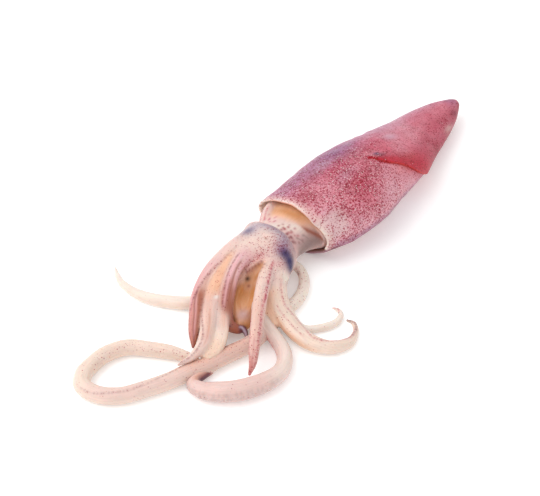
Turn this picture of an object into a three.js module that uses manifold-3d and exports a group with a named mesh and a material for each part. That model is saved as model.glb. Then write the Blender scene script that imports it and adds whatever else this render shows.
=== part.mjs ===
// A whole raw squid, lying belly down with its arms and tentacles spread in front of the head.
// Lengths are in millimetres. The mantle runs along +X from its mouth to the tail tip, +Z is up,
// and the animal rests on the plane z = 0.

import * as THREE from 'three';
import { mergeVertices } from 'three/addons/utils/BufferGeometryUtils.js';
import Module from 'manifold-3d';

// Driving dimensions of the mantle and of the hollow round the neck
const MANTLE_LENGTH = 210;
const WALL = 3.4;
const MOUTH_DEPTH = 27;
const MOUTH_OVERCUT = 4;

// The near shoulder sinks in behind the lip: depth as a share of the size, angle and spread from the
// top of the back in radians, and how far back it fades
const SHOULDER_DENT = 0.14;
const SHOULDER_ANGLE = -0.72;
const SHOULDER_SPREAD = 0.5;
const SHOULDER_REACH = 16;

// Driving dimensions of the fins, with angles in degrees from the top of the back
const FIN_FRONT = 68;
const FIN_REAR = 206;
const FIN_ROOT_ANGLE = 9;
const FIN_THICKNESS = 2.8;
const FIN_MARGIN_THICKNESS = 1.6;
const FIN_ROOT_SINK = 2;
const FAR_FIN_SETBACK = 11;

// The sizes below are drawn from the middle of the mantle's mouth; this point of that drawing is the origin
const ORIGIN = new THREE.Vector3(8, -6.9, 0);

// A block that takes away what would lie below the plane of rest
const FLOOR_SPAN = 1000;
const FLOOR_DEPTH = 60;

// Facet counts
const MANTLE_SIDES = 34;
const MANTLE_STEPS = 24;
const FIN_ACROSS = 8;
const FIN_ALONG = 18;
const HEAD_SIDES = 20;
const WEB_SIDES = 14;
const ARM_SIDES = 10;
const TENTACLE_SIDES = 12;
const BALL_MERIDIANS = 18;
const BALL_PARALLELS = 12;
const HEAD_STEPS = 16;
const HOLLOW_STEPS = 6;

// How much closer the mantle's rings stand towards the tail, and how near two vertices count as one
const TAIL_BUNCHING = 1.4;
const MERGE_DISTANCE = 1e-4;

// The mantle's half width, half height and sideways drift at stations behind its mouth
const MANTLE_HALF_WIDTH = [[0, 29.8], [25, 34], [50, 34.2], [80, 31.6], [110, 27], [140, 20.5], [170, 14.5],
  [190, 10], [203, 6], [MANTLE_LENGTH, 2]];
const MANTLE_HALF_HEIGHT = [[0, 18.6], [25, 21.8], [50, 22.6], [80, 21], [110, 17.5], [140, 12.6],
  [170, 9.4], [190, 7.2], [203, 5], [MANTLE_LENGTH, 2]];
const MANTLE_DRIFT = [[0, -1.8], [25, -6.6], [50, -7.4], [80, -5], [110, -3.6], [140, 0.4], [170, 3],
  [190, 3], [MANTLE_LENGTH, 1.6]];
const MANTLE_AXIS = [[0, 17.9], [25, 21.1], [50, 21.9], [80, 20.3], [110, 17], [140, 13.4], [170, 11.6],
  [190, 11], [MANTLE_LENGTH, 11]];

// The fins' own half width and half height, where they hang over the sides, and the angle from the
// top of the back at which each fin's margin lies
const FIN_HALF_WIDTH = [[FIN_FRONT, 33], [80, 31.8], [110, 28], [140, 23], [170, 18.2], [190, 13.4],
  [200, 8.4], [FIN_REAR, 4.8]];
const FIN_MARGIN_ANGLE = [[FIN_FRONT, 12], [77, 32], [84, 43], [90, 56], [98, 78], [108, 98], [118, 116],
  [128, 130], [150, 138], [175, 138], [192, 124], [FIN_REAR, 70]];

// Routes are rows of x, y, z, half width and half height
const HEAD = {
  face: [[0, 0, 1], [0, 0, 1]],
  steps: HEAD_STEPS,
  route: [[30, -5, 19, 26, 15], [16, -4, 18, 25, 14.5], [2, -3, 16.5, 22, 13.5],
    [-9, -2.5, 16, 18.5, 13], [-17, -1.5, 17, 20, 15], [-26, -1.5, 17.5, 21, 16.5],
    [-37, -2.5, 17.5, 21, 15.5], [-48, -5, 17.5, 20, 13.5], [-58, -8, 16, 17, 10.5],
    [-67, -11, 13, 11, 7], [-74, -12, 11, 4, 3]],
};
const WEBS = [
  { // from the far arms to the ridged arm
    face: [[0, 0, 1], [0, 0, 1]],
    route: [[-44, 4, 20, 13, 8], [-56, 3, 20, 13.5, 7.5], [-68, 1, 17.5, 13, 6],
      [-80, -3, 14.5, 10, 4.5], [-90, -8, 12, 5, 3], [-96, -11, 10.5, 1.5, 1.5]],
  },
  { // from the slim arm to the thick one
    face: [[0, 0, 1], [0, 0, 1]],
    route: [[-36, -16, 18, 10, 8], [-48, -21, 17, 10, 7], [-60, -29, 13, 9, 6], [-70, -38, 8.5, 7, 4.5],
      [-78, -46, 5.5, 3, 3]],
  },
];
const FAR_EYE = { centre: [-25, 11, 20], radii: [10, 9, 10] };
const NEAR_EYE = { centre: [-29, -13.5, 14], radii: [10, 9, 10] };
const BUCCAL_MASS = { centre: [-72, -16, 11], radii: [16, 12, 10] };

const ARMS = [
  { // outermost arm of the far side, hanging to the floor
    face: [[-0.3, 0.7, 0.7], [-0.6, 0.5, 0.6]],
    route: [[-38, 9, 24, 7, 5.5], [-48, 11, 24, 6.4, 5.2], [-59, 11.5, 23, 5.8, 5],
      [-70, 11, 21, 5.5, 4.8], [-81, 9, 17.5, 5.5, 4.6], [-93, 4, 14, 5.8, 4.2],
      [-102.5, -3, 10.5, 5.6, 3.8], [-112, -10, 7.5, 4.4, 3], [-120, -16.5, 4.5, 1, 1]],
  },
  { // arm that lies on the tentacles and turns out over the looped one
    face: [[-0.6, 0.3, 0.8], [-0.6, 0.3, 0.8]],
    route: [[-44, 6, 20, 6, 5], [-60, 6, 20, 6, 4.4], [-77, 1, 18.5, 5, 4], [-90, -5, 16, 4.4, 3.8],
      [-101.5, -12.5, 14, 4.5, 3.6], [-110.5, -19, 12.5, 4.5, 3.4], [-120.5, -24.5, 12.5, 3.7, 3],
      [-132, -27, 12.5, 2.2, 2.2], [-141, -24, 11.5, 0.8, 0.8]],
  },
  { // its neighbour, side by side with it down to the tentacle
    face: [[-0.7, 0, 0.7], [-0.6, 0, 0.8]],
    route: [[-44, 0, 19, 6, 5], [-60, 1, 18, 6, 4.4], [-76, -5, 16.5, 5.4, 4], [-88, -12, 14, 5, 3.8],
      [-97, -19, 12, 4.6, 3.6], [-106, -25, 10.5, 4.4, 3.4], [-117, -30, 11, 3.4, 2.6],
      [-127, -31, 11.5, 1, 1]],
  },
  { // ridged arm that curls under itself
    face: [[-0.4, 0.1, 0.9], [-0.95, 0.2, 0.2]],
    route: [[-38, -2, 23, 7, 5], [-46, -2, 26, 6.4, 5], [-57, -3.5, 27, 5.6, 4.6],
      [-71, -7.5, 25.5, 4.9, 4.2], [-82, -13, 20.5, 4.8, 3.9], [-90, -18, 14.5, 4.8, 3.7],
      [-94, -23, 9.6, 4.4, 3.4], [-93, -29, 7.6, 3.2, 2.8], [-90.5, -33, 7.4, 2.2, 2],
      [-92, -37, 4, 1, 1]],
  },
  { // slim arm in the middle of the front
    face: [[-0.2, -0.4, 0.9], [-0.4, -0.5, 0.8]],
    route: [[-36, -14, 21, 6.5, 5], [-46, -18, 24, 5.6, 4.6], [-58, -23.5, 24.5, 4.8, 4],
      [-70, -30.5, 23, 4.6, 3.7], [-82.5, -38.5, 20.5, 4.5, 3.5], [-94.5, -46.5, 17, 4.2, 3.2],
      [-105, -53.5, 13, 3.9, 2.9], [-111, -57.5, 9, 3.1, 2.3], [-116, -59, 4.5, 0.9, 0.9]],
  },
  { // thick arm that sweeps to the near side and ends in a curl
    face: [[0.3, -0.7, 0.7], [0.3, -0.3, 0.9]],
    route: [[-34, -18, 20, 7, 6], [-44, -24, 19, 6.6, 5.6], [-52, -29, 15.5, 6.6, 5.4],
      [-59, -37, 11.5, 6.6, 5.4], [-64, -47, 8, 6.6, 5.4], [-68, -58, 6, 6.4, 5.4],
      [-70, -69, 5.4, 6, 5], [-68, -80, 4.8, 5, 4.4], [-62, -86, 4, 4.2, 3.8], [-53, -89, 3, 3.2, 2.8],
      [-43, -86, 2.4, 2, 1.9], [-38, -81, 3, 1.6, 1.5], [-40, -77, 5, 0.7, 0.7]],
  },
  { // thin arm that slips out from under the thick one
    face: [[0, 0, 1], [0, 0, 1]],
    route: [[-56, -22, 8, 4, 4], [-62, -36, 4, 3.4, 3.2], [-63, -50, 2.8, 3, 2.9],
      [-61, -60, 2.6, 2.8, 2.7], [-56, -65, 2.6, 2.7, 2.6], [-50, -69, 2.6, 2.7, 2.6],
      [-43, -71, 2.4, 2.5, 2.4], [-36, -69, 2, 1.9, 1.9], [-33, -65, 1.8, 1.4, 1.4],
      [-34, -61, 2.2, 0.6, 0.6]],
  },
  { // pale arm that trails off to the far side
    face: [[0, 0, 1], [0, 0, 1]],
    route: [[-58, -4, 10, 5, 5], [-70, -3, 6.5, 5, 5], [-79, 3, 5, 4.8, 4.8], [-87, 9, 4.6, 4.6, 4.6],
      [-93, 15, 4.4, 4.6, 4.4], [-98, 23, 4.2, 4.5, 4.2], [-102, 31, 4, 4.2, 4],
      [-105, 41, 3.6, 3.8, 3.6], [-105.5, 52, 3, 3.1, 3], [-103.5, 63, 2.3, 2.4, 2.3],
      [-99, 72, 1.7, 1.7, 1.7], [-94.5, 78, 1.4, 0.6, 0.6]],
  },
];

const TENTACLES = [
  { // leaves the head on the near side, passes under the arms and lies in a long far loop
    face: [[0, 0, 1], [0, 0, 1]],
    steps: 52,
    route: [[-34, -8, 12, 3.4, 3.4], [-24, -13, 9, 3.4, 3.2], [-20, -20, 6, 3.4, 3.2],
      [-23, -28, 4, 3.6, 3.4], [-32, -35, 3.8, 4, 3.8], [-42, -39, 4, 4.2, 4],
      [-52, -40, 4.2, 4.4, 4.2], [-64, -40, 4.4, 4.6, 4.4], [-77, -42, 4.6, 4.8, 4.6],
      [-88, -43, 5, 5, 5], [-99, -42, 5.2, 5.4, 5.2], [-109, -39, 5.2, 5.6, 5.2],
      [-119, -36, 5.2, 5.8, 5.2], [-128, -34, 5.2, 5.8, 5.2], [-137, -30, 5.2, 5.8, 5.2],
      [-152, -25, 5, 5.6, 5], [-167, -18, 5, 5.5, 5], [-179, -11, 5, 5.5, 5], [-187, 0, 5, 5.5, 5],
      [-188, 12, 5, 5.5, 5], [-181, 19, 5, 5.5, 5], [-173, 21, 5, 5.5, 5], [-160, 21, 5, 5.4, 5],
      [-147, 15, 5, 5.3, 5], [-139, 3, 4.8, 5, 4.8], [-133, -8, 4.6, 4.6, 4.6],
      [-129, -18, 4.2, 3.4, 3.4], [-126, -25, 4, 1.4, 1.4]],
  },
  { // comes out under the front arms and turns back at its club
    face: [[0, 0, 1], [0, 0, 1]],
    steps: 40,
    route: [[-62, -18, 14, 4.4, 4.4], [-74, -29, 11, 4.6, 4.4], [-79, -42, 7.4, 4.8, 4.6],
      [-82, -52, 5.2, 4.9, 4.7], [-87, -62, 4.8, 5, 4.8], [-94, -69, 5, 5.1, 4.9],
      [-104, -73, 5.4, 5.6, 5.3], [-116, -71.5, 6, 6.2, 6], [-126, -67.5, 6.6, 6.6, 6.6],
      [-134, -62, 6.8, 6.6, 6.8], [-140.5, -54.5, 6.8, 6.4, 6.8], [-144, -46, 6.6, 6, 6.4],
      [-143.5, -38, 6, 5, 5.6], [-138.5, -34, 5, 4, 4.6], [-132, -34, 4, 3, 3.4],
      [-126, -36, 3.4, 1.4, 1.8]],
  },
];

/** The value at x on a smooth line through rows of [x, value], which never overshoots its rows. */
function smooth(rows, x) {
  const last = rows.length - 1;
  const slope = rows.slice(1).map(([x1, v1], i) => (v1 - rows[i][1]) / (x1 - rows[i][0]));
  const lean = (i) => {
    if (i === 0) return slope[0];
    if (i === last) return slope[last - 1];
    const [before, after] = [slope[i - 1], slope[i]];
    return before * after <= 0 ? 0 : (2 * before * after) / (before + after);
  };
  let i = 0;
  while (i < last - 1 && x > rows[i + 1][0]) i += 1;
  const width = rows[i + 1][0] - rows[i][0];
  const t = Math.min(1, Math.max(0, (x - rows[i][0]) / width));
  const ease = t * t * (3 - 2 * t);
  const start = t * (1 - t) * (1 - t) * width * lean(i);
  const end = t * t * (1 - t) * width * lean(i + 1);
  return rows[i][1] * (1 - ease) + rows[i + 1][1] * ease + start - end;
}

/** Moves every vertex of a closed geometry to the place that a function gives it. */
function reshape(geometry, place) {
  const corners = geometry.attributes.position;
  for (let i = 0; i < corners.count; i += 1) {
    const [x, y, z] = place(corners.getX(i), corners.getY(i), corners.getZ(i));
    corners.setXYZ(i, x, y, z);
  }
  return geometry;
}

/** A closed geometry as a solid that can be joined and cut. */
function solid(geometry) {
  const bare = geometry.clone();
  bare.deleteAttribute('normal');
  bare.deleteAttribute('uv');
  const merged = mergeVertices(bare, MERGE_DISTANCE);
  return new wasm.Manifold(new wasm.Mesh({
    numProp: 3,
    vertProperties: new Float32Array(merged.attributes.position.array),
    triVerts: new Uint32Array(merged.index.array),
  }));
}

/**
 * A limb: a cylinder bent along its route, with the half width and half height of each row. Its back
 * faces the way that face gives at its two ends.
 */
function limb({ route, face, steps = 2 * (route.length - 1) }, sides) {
  const places = route.map(([x, y, z]) => new THREE.Vector3(x, y, z));
  const halfSizes = route.map(([, , , width, height]) => new THREE.Vector3(width, height, 0));
  const path = new THREE.CatmullRomCurve3(places, false, 'catmullrom');
  const sizes = new THREE.CatmullRomCurve3(halfSizes, false, 'catmullrom');
  const [baseFace, tipFace] = face.map((way) => new THREE.Vector3(...way));
  return reshape(new THREE.CylinderGeometry(1, 1, 1, sides, steps), (x, y, z) => {
    const t = y + 0.5;
    const along = path.getTangent(t);
    const side = new THREE.Vector3().crossVectors(along, baseFace.clone().lerp(tipFace, t)).normalize();
    const back = new THREE.Vector3().crossVectors(side, along);
    const size = sizes.getPoint(t);
    const place = path.getPoint(t);
    place.addScaledVector(side, x * size.x);
    place.addScaledVector(back, z * size.y);
    return place.toArray();
  });
}

/** A point of the mantle's skin, moved in by inset: angle 0 is the top of the back, + the far side. */
function onMantle(x, angle, inset = 0) {
  const offDent = (angle - SHOULDER_ANGLE) / SHOULDER_SPREAD;
  const dent = 1 - SHOULDER_DENT * Math.exp(-offDent * offDent - Math.max(0, x) / SHOULDER_REACH);
  const halfWidth = dent * smooth(MANTLE_HALF_WIDTH, x);
  const halfHeight = dent * smooth(MANTLE_HALF_HEIGHT, x);
  return [
    x,
    smooth(MANTLE_DRIFT, x) + (halfWidth - inset) * Math.sin(angle),
    smooth(MANTLE_AXIS, x) + (halfHeight - inset) * Math.cos(angle),
  ];
}

/** The mantle as a full spindle, from x = from to x = to, with its skin moved in by inset. */
function mantleBody(from, to, steps, inset, bunching) {
  return reshape(new THREE.CylinderGeometry(1, 1, 1, MANTLE_SIDES, steps), (across, y, up) => {
    const x = from + (to - from) * (1 - (0.5 - y) ** bunching);
    const out = Math.hypot(across, up);
    const [, skinY, skinZ] = onMantle(x, Math.atan2(-across, up), inset);
    const axisY = smooth(MANTLE_DRIFT, x);
    const axisZ = smooth(MANTLE_AXIS, x);
    return [x, axisY + out * (skinY - axisY), axisZ + out * (skinZ - axisZ)];
  });
}

/** A fin, as a slab that hangs over one side of the mantle from a root beside the top of the back. */
function fin(side, setback) {
  const slab = new THREE.BoxGeometry(1, 1, 1, FIN_ACROSS, 1, FIN_ALONG);
  return reshape(slab, (across, layer, along) => {
    const u = 0.5 + side * along;
    const x = FIN_FRONT + setback * (1 - u) + (FIN_REAR - FIN_FRONT) * u;
    const reach = across + 0.5;
    const margin = smooth(FIN_MARGIN_ANGLE, x - setback * (1 - u));
    const angle = side * THREE.MathUtils.degToRad(FIN_ROOT_ANGLE + (margin - FIN_ROOT_ANGLE) * reach);
    const thickness = THREE.MathUtils.lerp(FIN_THICKNESS, FIN_MARGIN_THICKNESS, reach);
    const out = layer * thickness - FIN_ROOT_SINK * (1 - reach) ** 4;
    const axis = smooth(MANTLE_AXIS, x);
    const halfHeight = Math.cos(angle) > 0 ? smooth(MANTLE_HALF_HEIGHT, x) : axis;
    return [
      x,
      smooth(MANTLE_DRIFT, x) + (smooth(FIN_HALF_WIDTH, x) + out) * Math.sin(angle),
      axis + (halfHeight + out) * Math.cos(angle),
    ];
  });
}

/** A ball with three radii at its centre. */
function ball({ centre, radii }) {
  return new THREE.SphereGeometry(1, BALL_MERIDIANS, BALL_PARALLELS).scale(...radii).translate(...centre);
}

/** A manifold solid as a geometry again, with flat faces. */
function geometryOf(body) {
  const mesh = body.getMesh();
  const geometry = new THREE.BufferGeometry();
  geometry.setAttribute('position', new THREE.BufferAttribute(mesh.vertProperties, 3));
  geometry.setIndex(new THREE.BufferAttribute(mesh.triVerts, 1));
  geometry.computeVertexNormals();
  return geometry;
}

const wasm = await Module();
wasm.setup();

// The mantle, open at its mouth, with the fins on its back
const hollow = mantleBody(-MOUTH_OVERCUT, MOUTH_DEPTH, HOLLOW_STEPS, WALL, 1);
const mantle = solid(mantleBody(0, MANTLE_LENGTH, MANTLE_STEPS, 0, TAIL_BUNCHING))
  .subtract(solid(hollow))
  .add(solid(fin(-1, 0)))
  .add(solid(fin(1, FAR_FIN_SETBACK)));

// The head with its neck, eyes and mouth, and the ten limbs
const limbs = [
  limb(HEAD, HEAD_SIDES),
  ...WEBS.map((web) => limb(web, WEB_SIDES)),
  ...[FAR_EYE, NEAR_EYE, BUCCAL_MASS].map(ball),
  ...ARMS.map((arm) => limb(arm, ARM_SIDES)),
  ...TENTACLES.map((tentacle) => limb(tentacle, TENTACLE_SIDES)),
];
const whole = limbs.reduce((body, piece) => body.add(solid(piece)), mantle);

// What would lie below the plane is flattened, as the flesh is where it rests
const floor = new THREE.BoxGeometry(FLOOR_SPAN, FLOOR_SPAN, FLOOR_DEPTH).translate(0, 0, -FLOOR_DEPTH / 2);
const resting = geometryOf(whole.subtract(solid(floor)));
resting.translate(-ORIGIN.x, -ORIGIN.y, 0);

const flesh = new THREE.MeshStandardMaterial({ color: 0xd88f92, roughness: 0.38, metalness: 0 });
const squid = new THREE.Mesh(resting, flesh);
squid.name = 'squid';

const group = new THREE.Group();
group.add(squid);
export default group;
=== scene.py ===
"""A whole raw squid lying belly down, its arms and two tentacles spread in front of the head.

Each body of flesh is drawn as a field of distances on a block of points and becomes one smooth skin, so
that flesh runs into flesh as it does in the animal. Tables are in millimetres and start from the middle of
the mantle's mouth: +X runs along the mantle to its tail, +Y to the far side and +Z up. MM and
DRAWING_ORIGIN take them to Blender's metres and to the frame that the solids are in.
"""

from __future__ import annotations

import logging
import math
from dataclasses import dataclass
from enum import Enum
from functools import cached_property
from itertools import product

import bpy
import numpy as np
from mathutils import Matrix, Vector

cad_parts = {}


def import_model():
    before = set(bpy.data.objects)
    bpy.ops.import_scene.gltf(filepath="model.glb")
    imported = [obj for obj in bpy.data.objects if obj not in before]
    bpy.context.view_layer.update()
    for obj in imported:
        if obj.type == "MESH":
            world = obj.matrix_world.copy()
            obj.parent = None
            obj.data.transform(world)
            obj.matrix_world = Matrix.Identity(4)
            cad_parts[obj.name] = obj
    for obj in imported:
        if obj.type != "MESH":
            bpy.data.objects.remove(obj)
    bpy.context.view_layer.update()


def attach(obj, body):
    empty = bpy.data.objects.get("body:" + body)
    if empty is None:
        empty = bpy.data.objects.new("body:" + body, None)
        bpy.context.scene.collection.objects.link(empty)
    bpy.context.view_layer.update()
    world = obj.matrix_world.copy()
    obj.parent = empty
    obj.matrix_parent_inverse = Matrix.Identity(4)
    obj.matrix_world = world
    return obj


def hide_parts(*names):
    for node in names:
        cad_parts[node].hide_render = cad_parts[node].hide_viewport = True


log = logging.getLogger("squid")

MM = 0.001
DRAWING_ORIGIN = np.array([8.0, -6.9, 0.0])
BODY = "root"
NODE = "squid"

# Distances beyond this many millimetres are not worked out, and this many points are handled at a time
FAR = 20.0
CHUNK = 30000

# The least that lengths, weights and slopes of a field count as, so that nothing is divided by nothing
TINY = 1e-6
LEAST_WEIGHT = 1e-9
LEAST_SLOPE = 0.5

# Places are read this many steps before a block's end, and an empty block's first body has this fillet
BEFORE_END = 1.001
FIRST_BLEND = 0.1

# Colours are named as they look on the table, where the light brings them up by this much
STUDIO_GAIN = 1.17

# A screen's curve from a colour's share to its light: a straight foot, and a power above it
FOOT_END, FOOT_SLOPE = 0.04045, 12.92
CURVE_OFFSET, CURVE_POWER = 0.055, 2.4

# Each block of points starts this far under the plane of rest, flesh meets that plane with this round, and
# a skin's points are spread out this often
UNDER_FLOOR = -2.5
FLOOR_ROUND = 0.8
SETTLE_PASSES = 3

# How far a limb's colours run into those of its neighbour, in millimetres
COLOUR_RUN = 0.7

# Closer to a limb's axis than this share of its radius, its half thickness stands for the distance
NEAR_AXIS = 0.05

# A broken band's weakest share, the sines between which it comes and goes, and how uneven its pieces are
DASH_LOW = 0.4
DASH_EDGE = (-0.5, 0.6)
DASH_DRIFT = 1.7
DASH_DRIFT_RATE = 0.37

# Turns in radians that keep the marks of a row from falling into step, how much they differ in width, and
# how deep a mark reaches for its width
MARK_TURNS = (2.4, 4.1, 3.1)
MARK_GROWTH = 0.2
MARK_DEPTH = 2.5

# Of the spacing between pigment spots: the smallest and largest radius. Of the radius: how it grows with
# the density, and where a spot's edge starts and ends
SPOT_RADII = (0.2, 0.44)
SPOT_GROWTH = (0.75, 1.25)
SPOT_EDGE = (0.6, 1.25)

# The part of a noise's range that counts
NOISE_RANGE = (0.3, 0.7)

Pair = tuple[float, float]
Triple = tuple[float, float, float]
Rows = tuple[tuple[float, ...], ...]

UP = (0.0, 0.0, 1.0)


class Tone(Enum):
    """The colours of raw squid, as red, green and blue out of 255."""

    IVORY = (250, 236, 224)
    CREAM = (246, 222, 206)
    BLUSH = (238, 204, 196)
    PETAL = (234, 178, 188)
    ROSE = (222, 146, 160)
    PINK = (230, 172, 178)
    CRIMSON = (204, 80, 104)
    CARMINE = (168, 36, 62)
    CORAL = (240, 142, 108)
    MAUVE = (186, 128, 162)
    BRICK = (192, 62, 66)
    SCARLET = (224, 88, 60)
    RUBY = (208, 30, 62)
    MADDER = (204, 74, 108)
    WINE = (128, 42, 58)
    VIOLET = (150, 96, 138)
    LILAC = (206, 186, 204)
    PEARL = (226, 204, 202)
    TAUPE = (150, 122, 118)
    SLATE = (140, 132, 164)
    INDIGO = (34, 16, 90)
    SALMON = (228, 168, 144)
    RUSSET = (176, 98, 70)
    GRAPE = (150, 88, 138)
    APRICOT = (246, 184, 138)
    OCHRE = (214, 144, 82)
    TAN = (206, 132, 104)
    UMBER = (150, 78, 58)
    PLUM = (92, 38, 62)
    BLACK = (26, 12, 12)
    WHITE = (250, 248, 246)

    @property
    def linear(self) -> np.ndarray:
        """The colour as the shaders count it, with light added up in a straight line."""
        share = np.array(self.value) / 255
        curve = ((share + CURVE_OFFSET) / (1 + CURVE_OFFSET)) ** CURVE_POWER
        return np.where(share <= FOOT_END, share / FOOT_SLOPE, curve) / STUDIO_GAIN

    @property
    def rgba(self) -> tuple[float, float, float, float]:
        """The same colour for a shader's socket."""
        red, green, blue = self.linear
        return (float(red), float(green), float(blue), 1.0)


def ease(low: float, high: float, value: np.ndarray) -> np.ndarray:
    """A smooth climb from 0 at low to 1 at high.

    Args:
        low: where the climb starts; it may lie above high, and then the climb is a fall.
        high: where the climb ends.
        value: the numbers to look up.

    Returns:
        The height of the climb at each value.
    """
    share = np.clip((value - low) / (high - low), 0, 1)
    return share * share * (3 - 2 * share)


def smooth(rows: Rows, x: np.ndarray) -> np.ndarray:
    """A smooth line through rows of x and value, which never overshoots its rows.

    Args:
        rows: pairs of x and value, with x rising.
        x: where the line is wanted.

    Returns:
        The line's value at each x, level beyond the first and the last row.
    """
    table = np.array(rows, float)
    places, values = table[:, 0], table[:, 1]
    slope = np.diff(values) / np.diff(places)
    before, after = slope[:-1], slope[1:]
    agree = before * after > 0
    lean = np.where(agree, 2 * before * after / np.where(agree, before + after, 1), 0)
    lean = np.concatenate([slope[:1], lean, slope[-1:]])
    i = np.clip(np.searchsorted(places, x, side="right") - 1, 0, len(slope) - 1)
    width = places[i + 1] - places[i]
    t = np.clip((x - places[i]) / width, 0, 1)
    step = t * t * (3 - 2 * t)
    start = t * (1 - t) * (1 - t) * width * lean[i]
    end = t * t * (1 - t) * width * lean[i + 1]
    return values[i] * (1 - step) + values[i + 1] * step + start - end


def ripple(points: np.ndarray, wavelength: float, seed: int) -> np.ndarray:
    """Smooth chance hills and dips.

    Args:
        points: where they are wanted, in millimetres.
        wavelength: how far apart they lie, in millimetres.
        seed: picks one pattern.

    Returns:
        A height from -1 to 1 at each point.
    """
    cells = 32
    lattice = np.random.default_rng(seed).uniform(-1, 1, (cells, cells, cells))
    place = points / wavelength
    corner = np.floor(place).astype(int)
    part = place - corner
    part = part * part * (3 - 2 * part)
    height = np.zeros(len(points))
    for offset in product((0, 1), repeat=3):
        weight = np.prod(np.where(offset, part, 1 - part), axis=1)
        i, j, k = ((corner + offset) % cells).T
        height += weight * lattice[i, j, k]
    return height


def ripples(points: np.ndarray, rows: Rows) -> np.ndarray:
    """Several ripples on one another, from rows of height, wavelength and seed."""
    return sum(height * ripple(points, wavelength, seed) for height, wavelength, seed in rows)


def melt(first: np.ndarray, second: np.ndarray, blend: np.ndarray | float) -> np.ndarray:
    """Joins two bodies, given by their distances, with a fillet.

    Args:
        first: distances to the first body's skin.
        second: distances to the second body's skin.
        blend: the fillet's reach in millimetres.

    Returns:
        Distances to the skin of the joined body.
    """
    reach = np.maximum(blend - np.abs(first - second), 0)
    return np.minimum(first, second) - reach * reach / (4 * blend)


def overlap(first: np.ndarray, second: np.ndarray, blend: np.ndarray | float) -> np.ndarray:
    """What two bodies share, with its edge rounded; the arguments are those of melt."""
    return -melt(-first, -second, blend)


@dataclass(frozen=True)
class Streak:
    """A band of colour, relief or freckles that runs along a limb.

    Its path is rows of the share of the limb's length and the turn in degrees; width and relief are in
    millimetres. Dashes is how many pieces a broken band would have along the whole limb; 0 leaves it whole.
    """

    tone: Tone
    strength: float
    path: Rows
    width: float
    fade: float = 0.05
    relief: float = 0.0
    freckles: float = 0.0
    dashes: float = 0.0

    def mask(self, share: np.ndarray, turn: np.ndarray, radius: np.ndarray) -> np.ndarray:
        """How much of the band each place of the limb has.

        Args:
            share: how far along the limb the place is, from 0 at the base to 1 at the tip.
            turn: its angle round the limb in degrees, 0 on the back.
            radius: how far the skin is from the limb's axis there, in millimetres.

        Returns:
            The band's share at each place, from 0 to 1.
        """
        shares, turns = np.array(self.path, float).T
        first, last = shares[0], shares[-1]
        along = ease(first - self.fade, first, share) * ease(last + self.fade, last, share)
        off = (turn - np.interp(share, shares, turns) + 180) % 360 - 180
        band = along * np.exp(-((np.radians(off) * radius / self.width) ** 2))
        if self.dashes:
            beat = 2 * math.pi * self.dashes * share
            pieces = ease(*DASH_EDGE, np.sin(beat + DASH_DRIFT * np.sin(DASH_DRIFT_RATE * beat)))
            band = band * (DASH_LOW + (1 - DASH_LOW) * pieces)
        return band


@dataclass(frozen=True)
class Patch:
    """A soft round patch of colour or freckles at one place of the skin."""

    tone: Tone
    strength: float
    centre: Triple
    radii: Triple
    freckles: float = 0.0

    def mask(self, points: np.ndarray) -> np.ndarray:
        """How much of the patch each point has, from 0 to 1."""
        off = (points - np.array(self.centre)) / np.array(self.radii)
        return np.exp(-(off * off).sum(axis=1))


def row_of_marks(tone: Tone, strength: float, start: Triple, end: Triple, count: int, size: float = 0.9,
                 stray: float = 0.0) -> tuple[Patch, ...]:
    """Small marks of one colour, spaced from one place to another.

    Args:
        tone: their colour.
        strength: how much of it the middle of each mark has.
        start: the middle of the first mark.
        end: the middle of the last mark.
        count: how many there are.
        size: how far each one reaches across the skin, in millimetres.
        stray: how far they lie off the straight line, in millimetres.

    Returns:
        The marks.
    """
    first, last = np.array(start, float), np.array(end, float)
    marks = []
    for number in range(count):
        along, across, width = (turn * number for turn in MARK_TURNS)
        off = stray * np.array([np.sin(along), np.sin(across + 1), 0])
        place = first + (last - first) * number / max(count - 1, 1) + off
        wide = size * (1 + MARK_GROWTH * stray * np.sin(width))
        marks.append(Patch(tone, strength, tuple(place), (size, wide, MARK_DEPTH * size)))
    return tuple(marks)


@dataclass(frozen=True)
class Place:
    """Places on the mantle or on one of its fins.

    Along is in millimetres down the mantle. Across is in degrees round it, 0 on the back and below 0 on the
    near side, or for a fin the share of the way out to its edge. Depth is the distance in millimetres from
    the skin, below 0 inside. Cloud is soft chance numbers from -1 to 1.
    """

    along: np.ndarray
    across: np.ndarray
    depth: np.ndarray
    cloud: np.ndarray


@dataclass(frozen=True)
class Zone:
    """A soft-edged zone of the mantle's skin or of a fin's.

    Each pair holds where the zone starts and where it is whole, along, across or in depth. Ragged is how
    far the clouds move the pairs that are along.
    """

    tone: Tone
    strength: float
    along: tuple[Pair, ...] = ()
    across: tuple[Pair, ...] = ()
    depth: tuple[Pair, ...] = ()
    freckles: float = 0.0
    ragged: float = 0.0

    def mask(self, here: Place) -> np.ndarray:
        """How much of the zone each place of the skin has.

        Args:
            here: the places.

        Returns:
            The zone's share at each place, from 0 to 1.
        """
        share = np.ones(len(here.along))
        ragged = here.along + self.ragged * here.cloud
        for pairs, value in ((self.across, here.across), (self.along, ragged), (self.depth, here.depth)):
            for low, high in pairs:
                share = share * ease(low, high, value)
        return share


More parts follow.
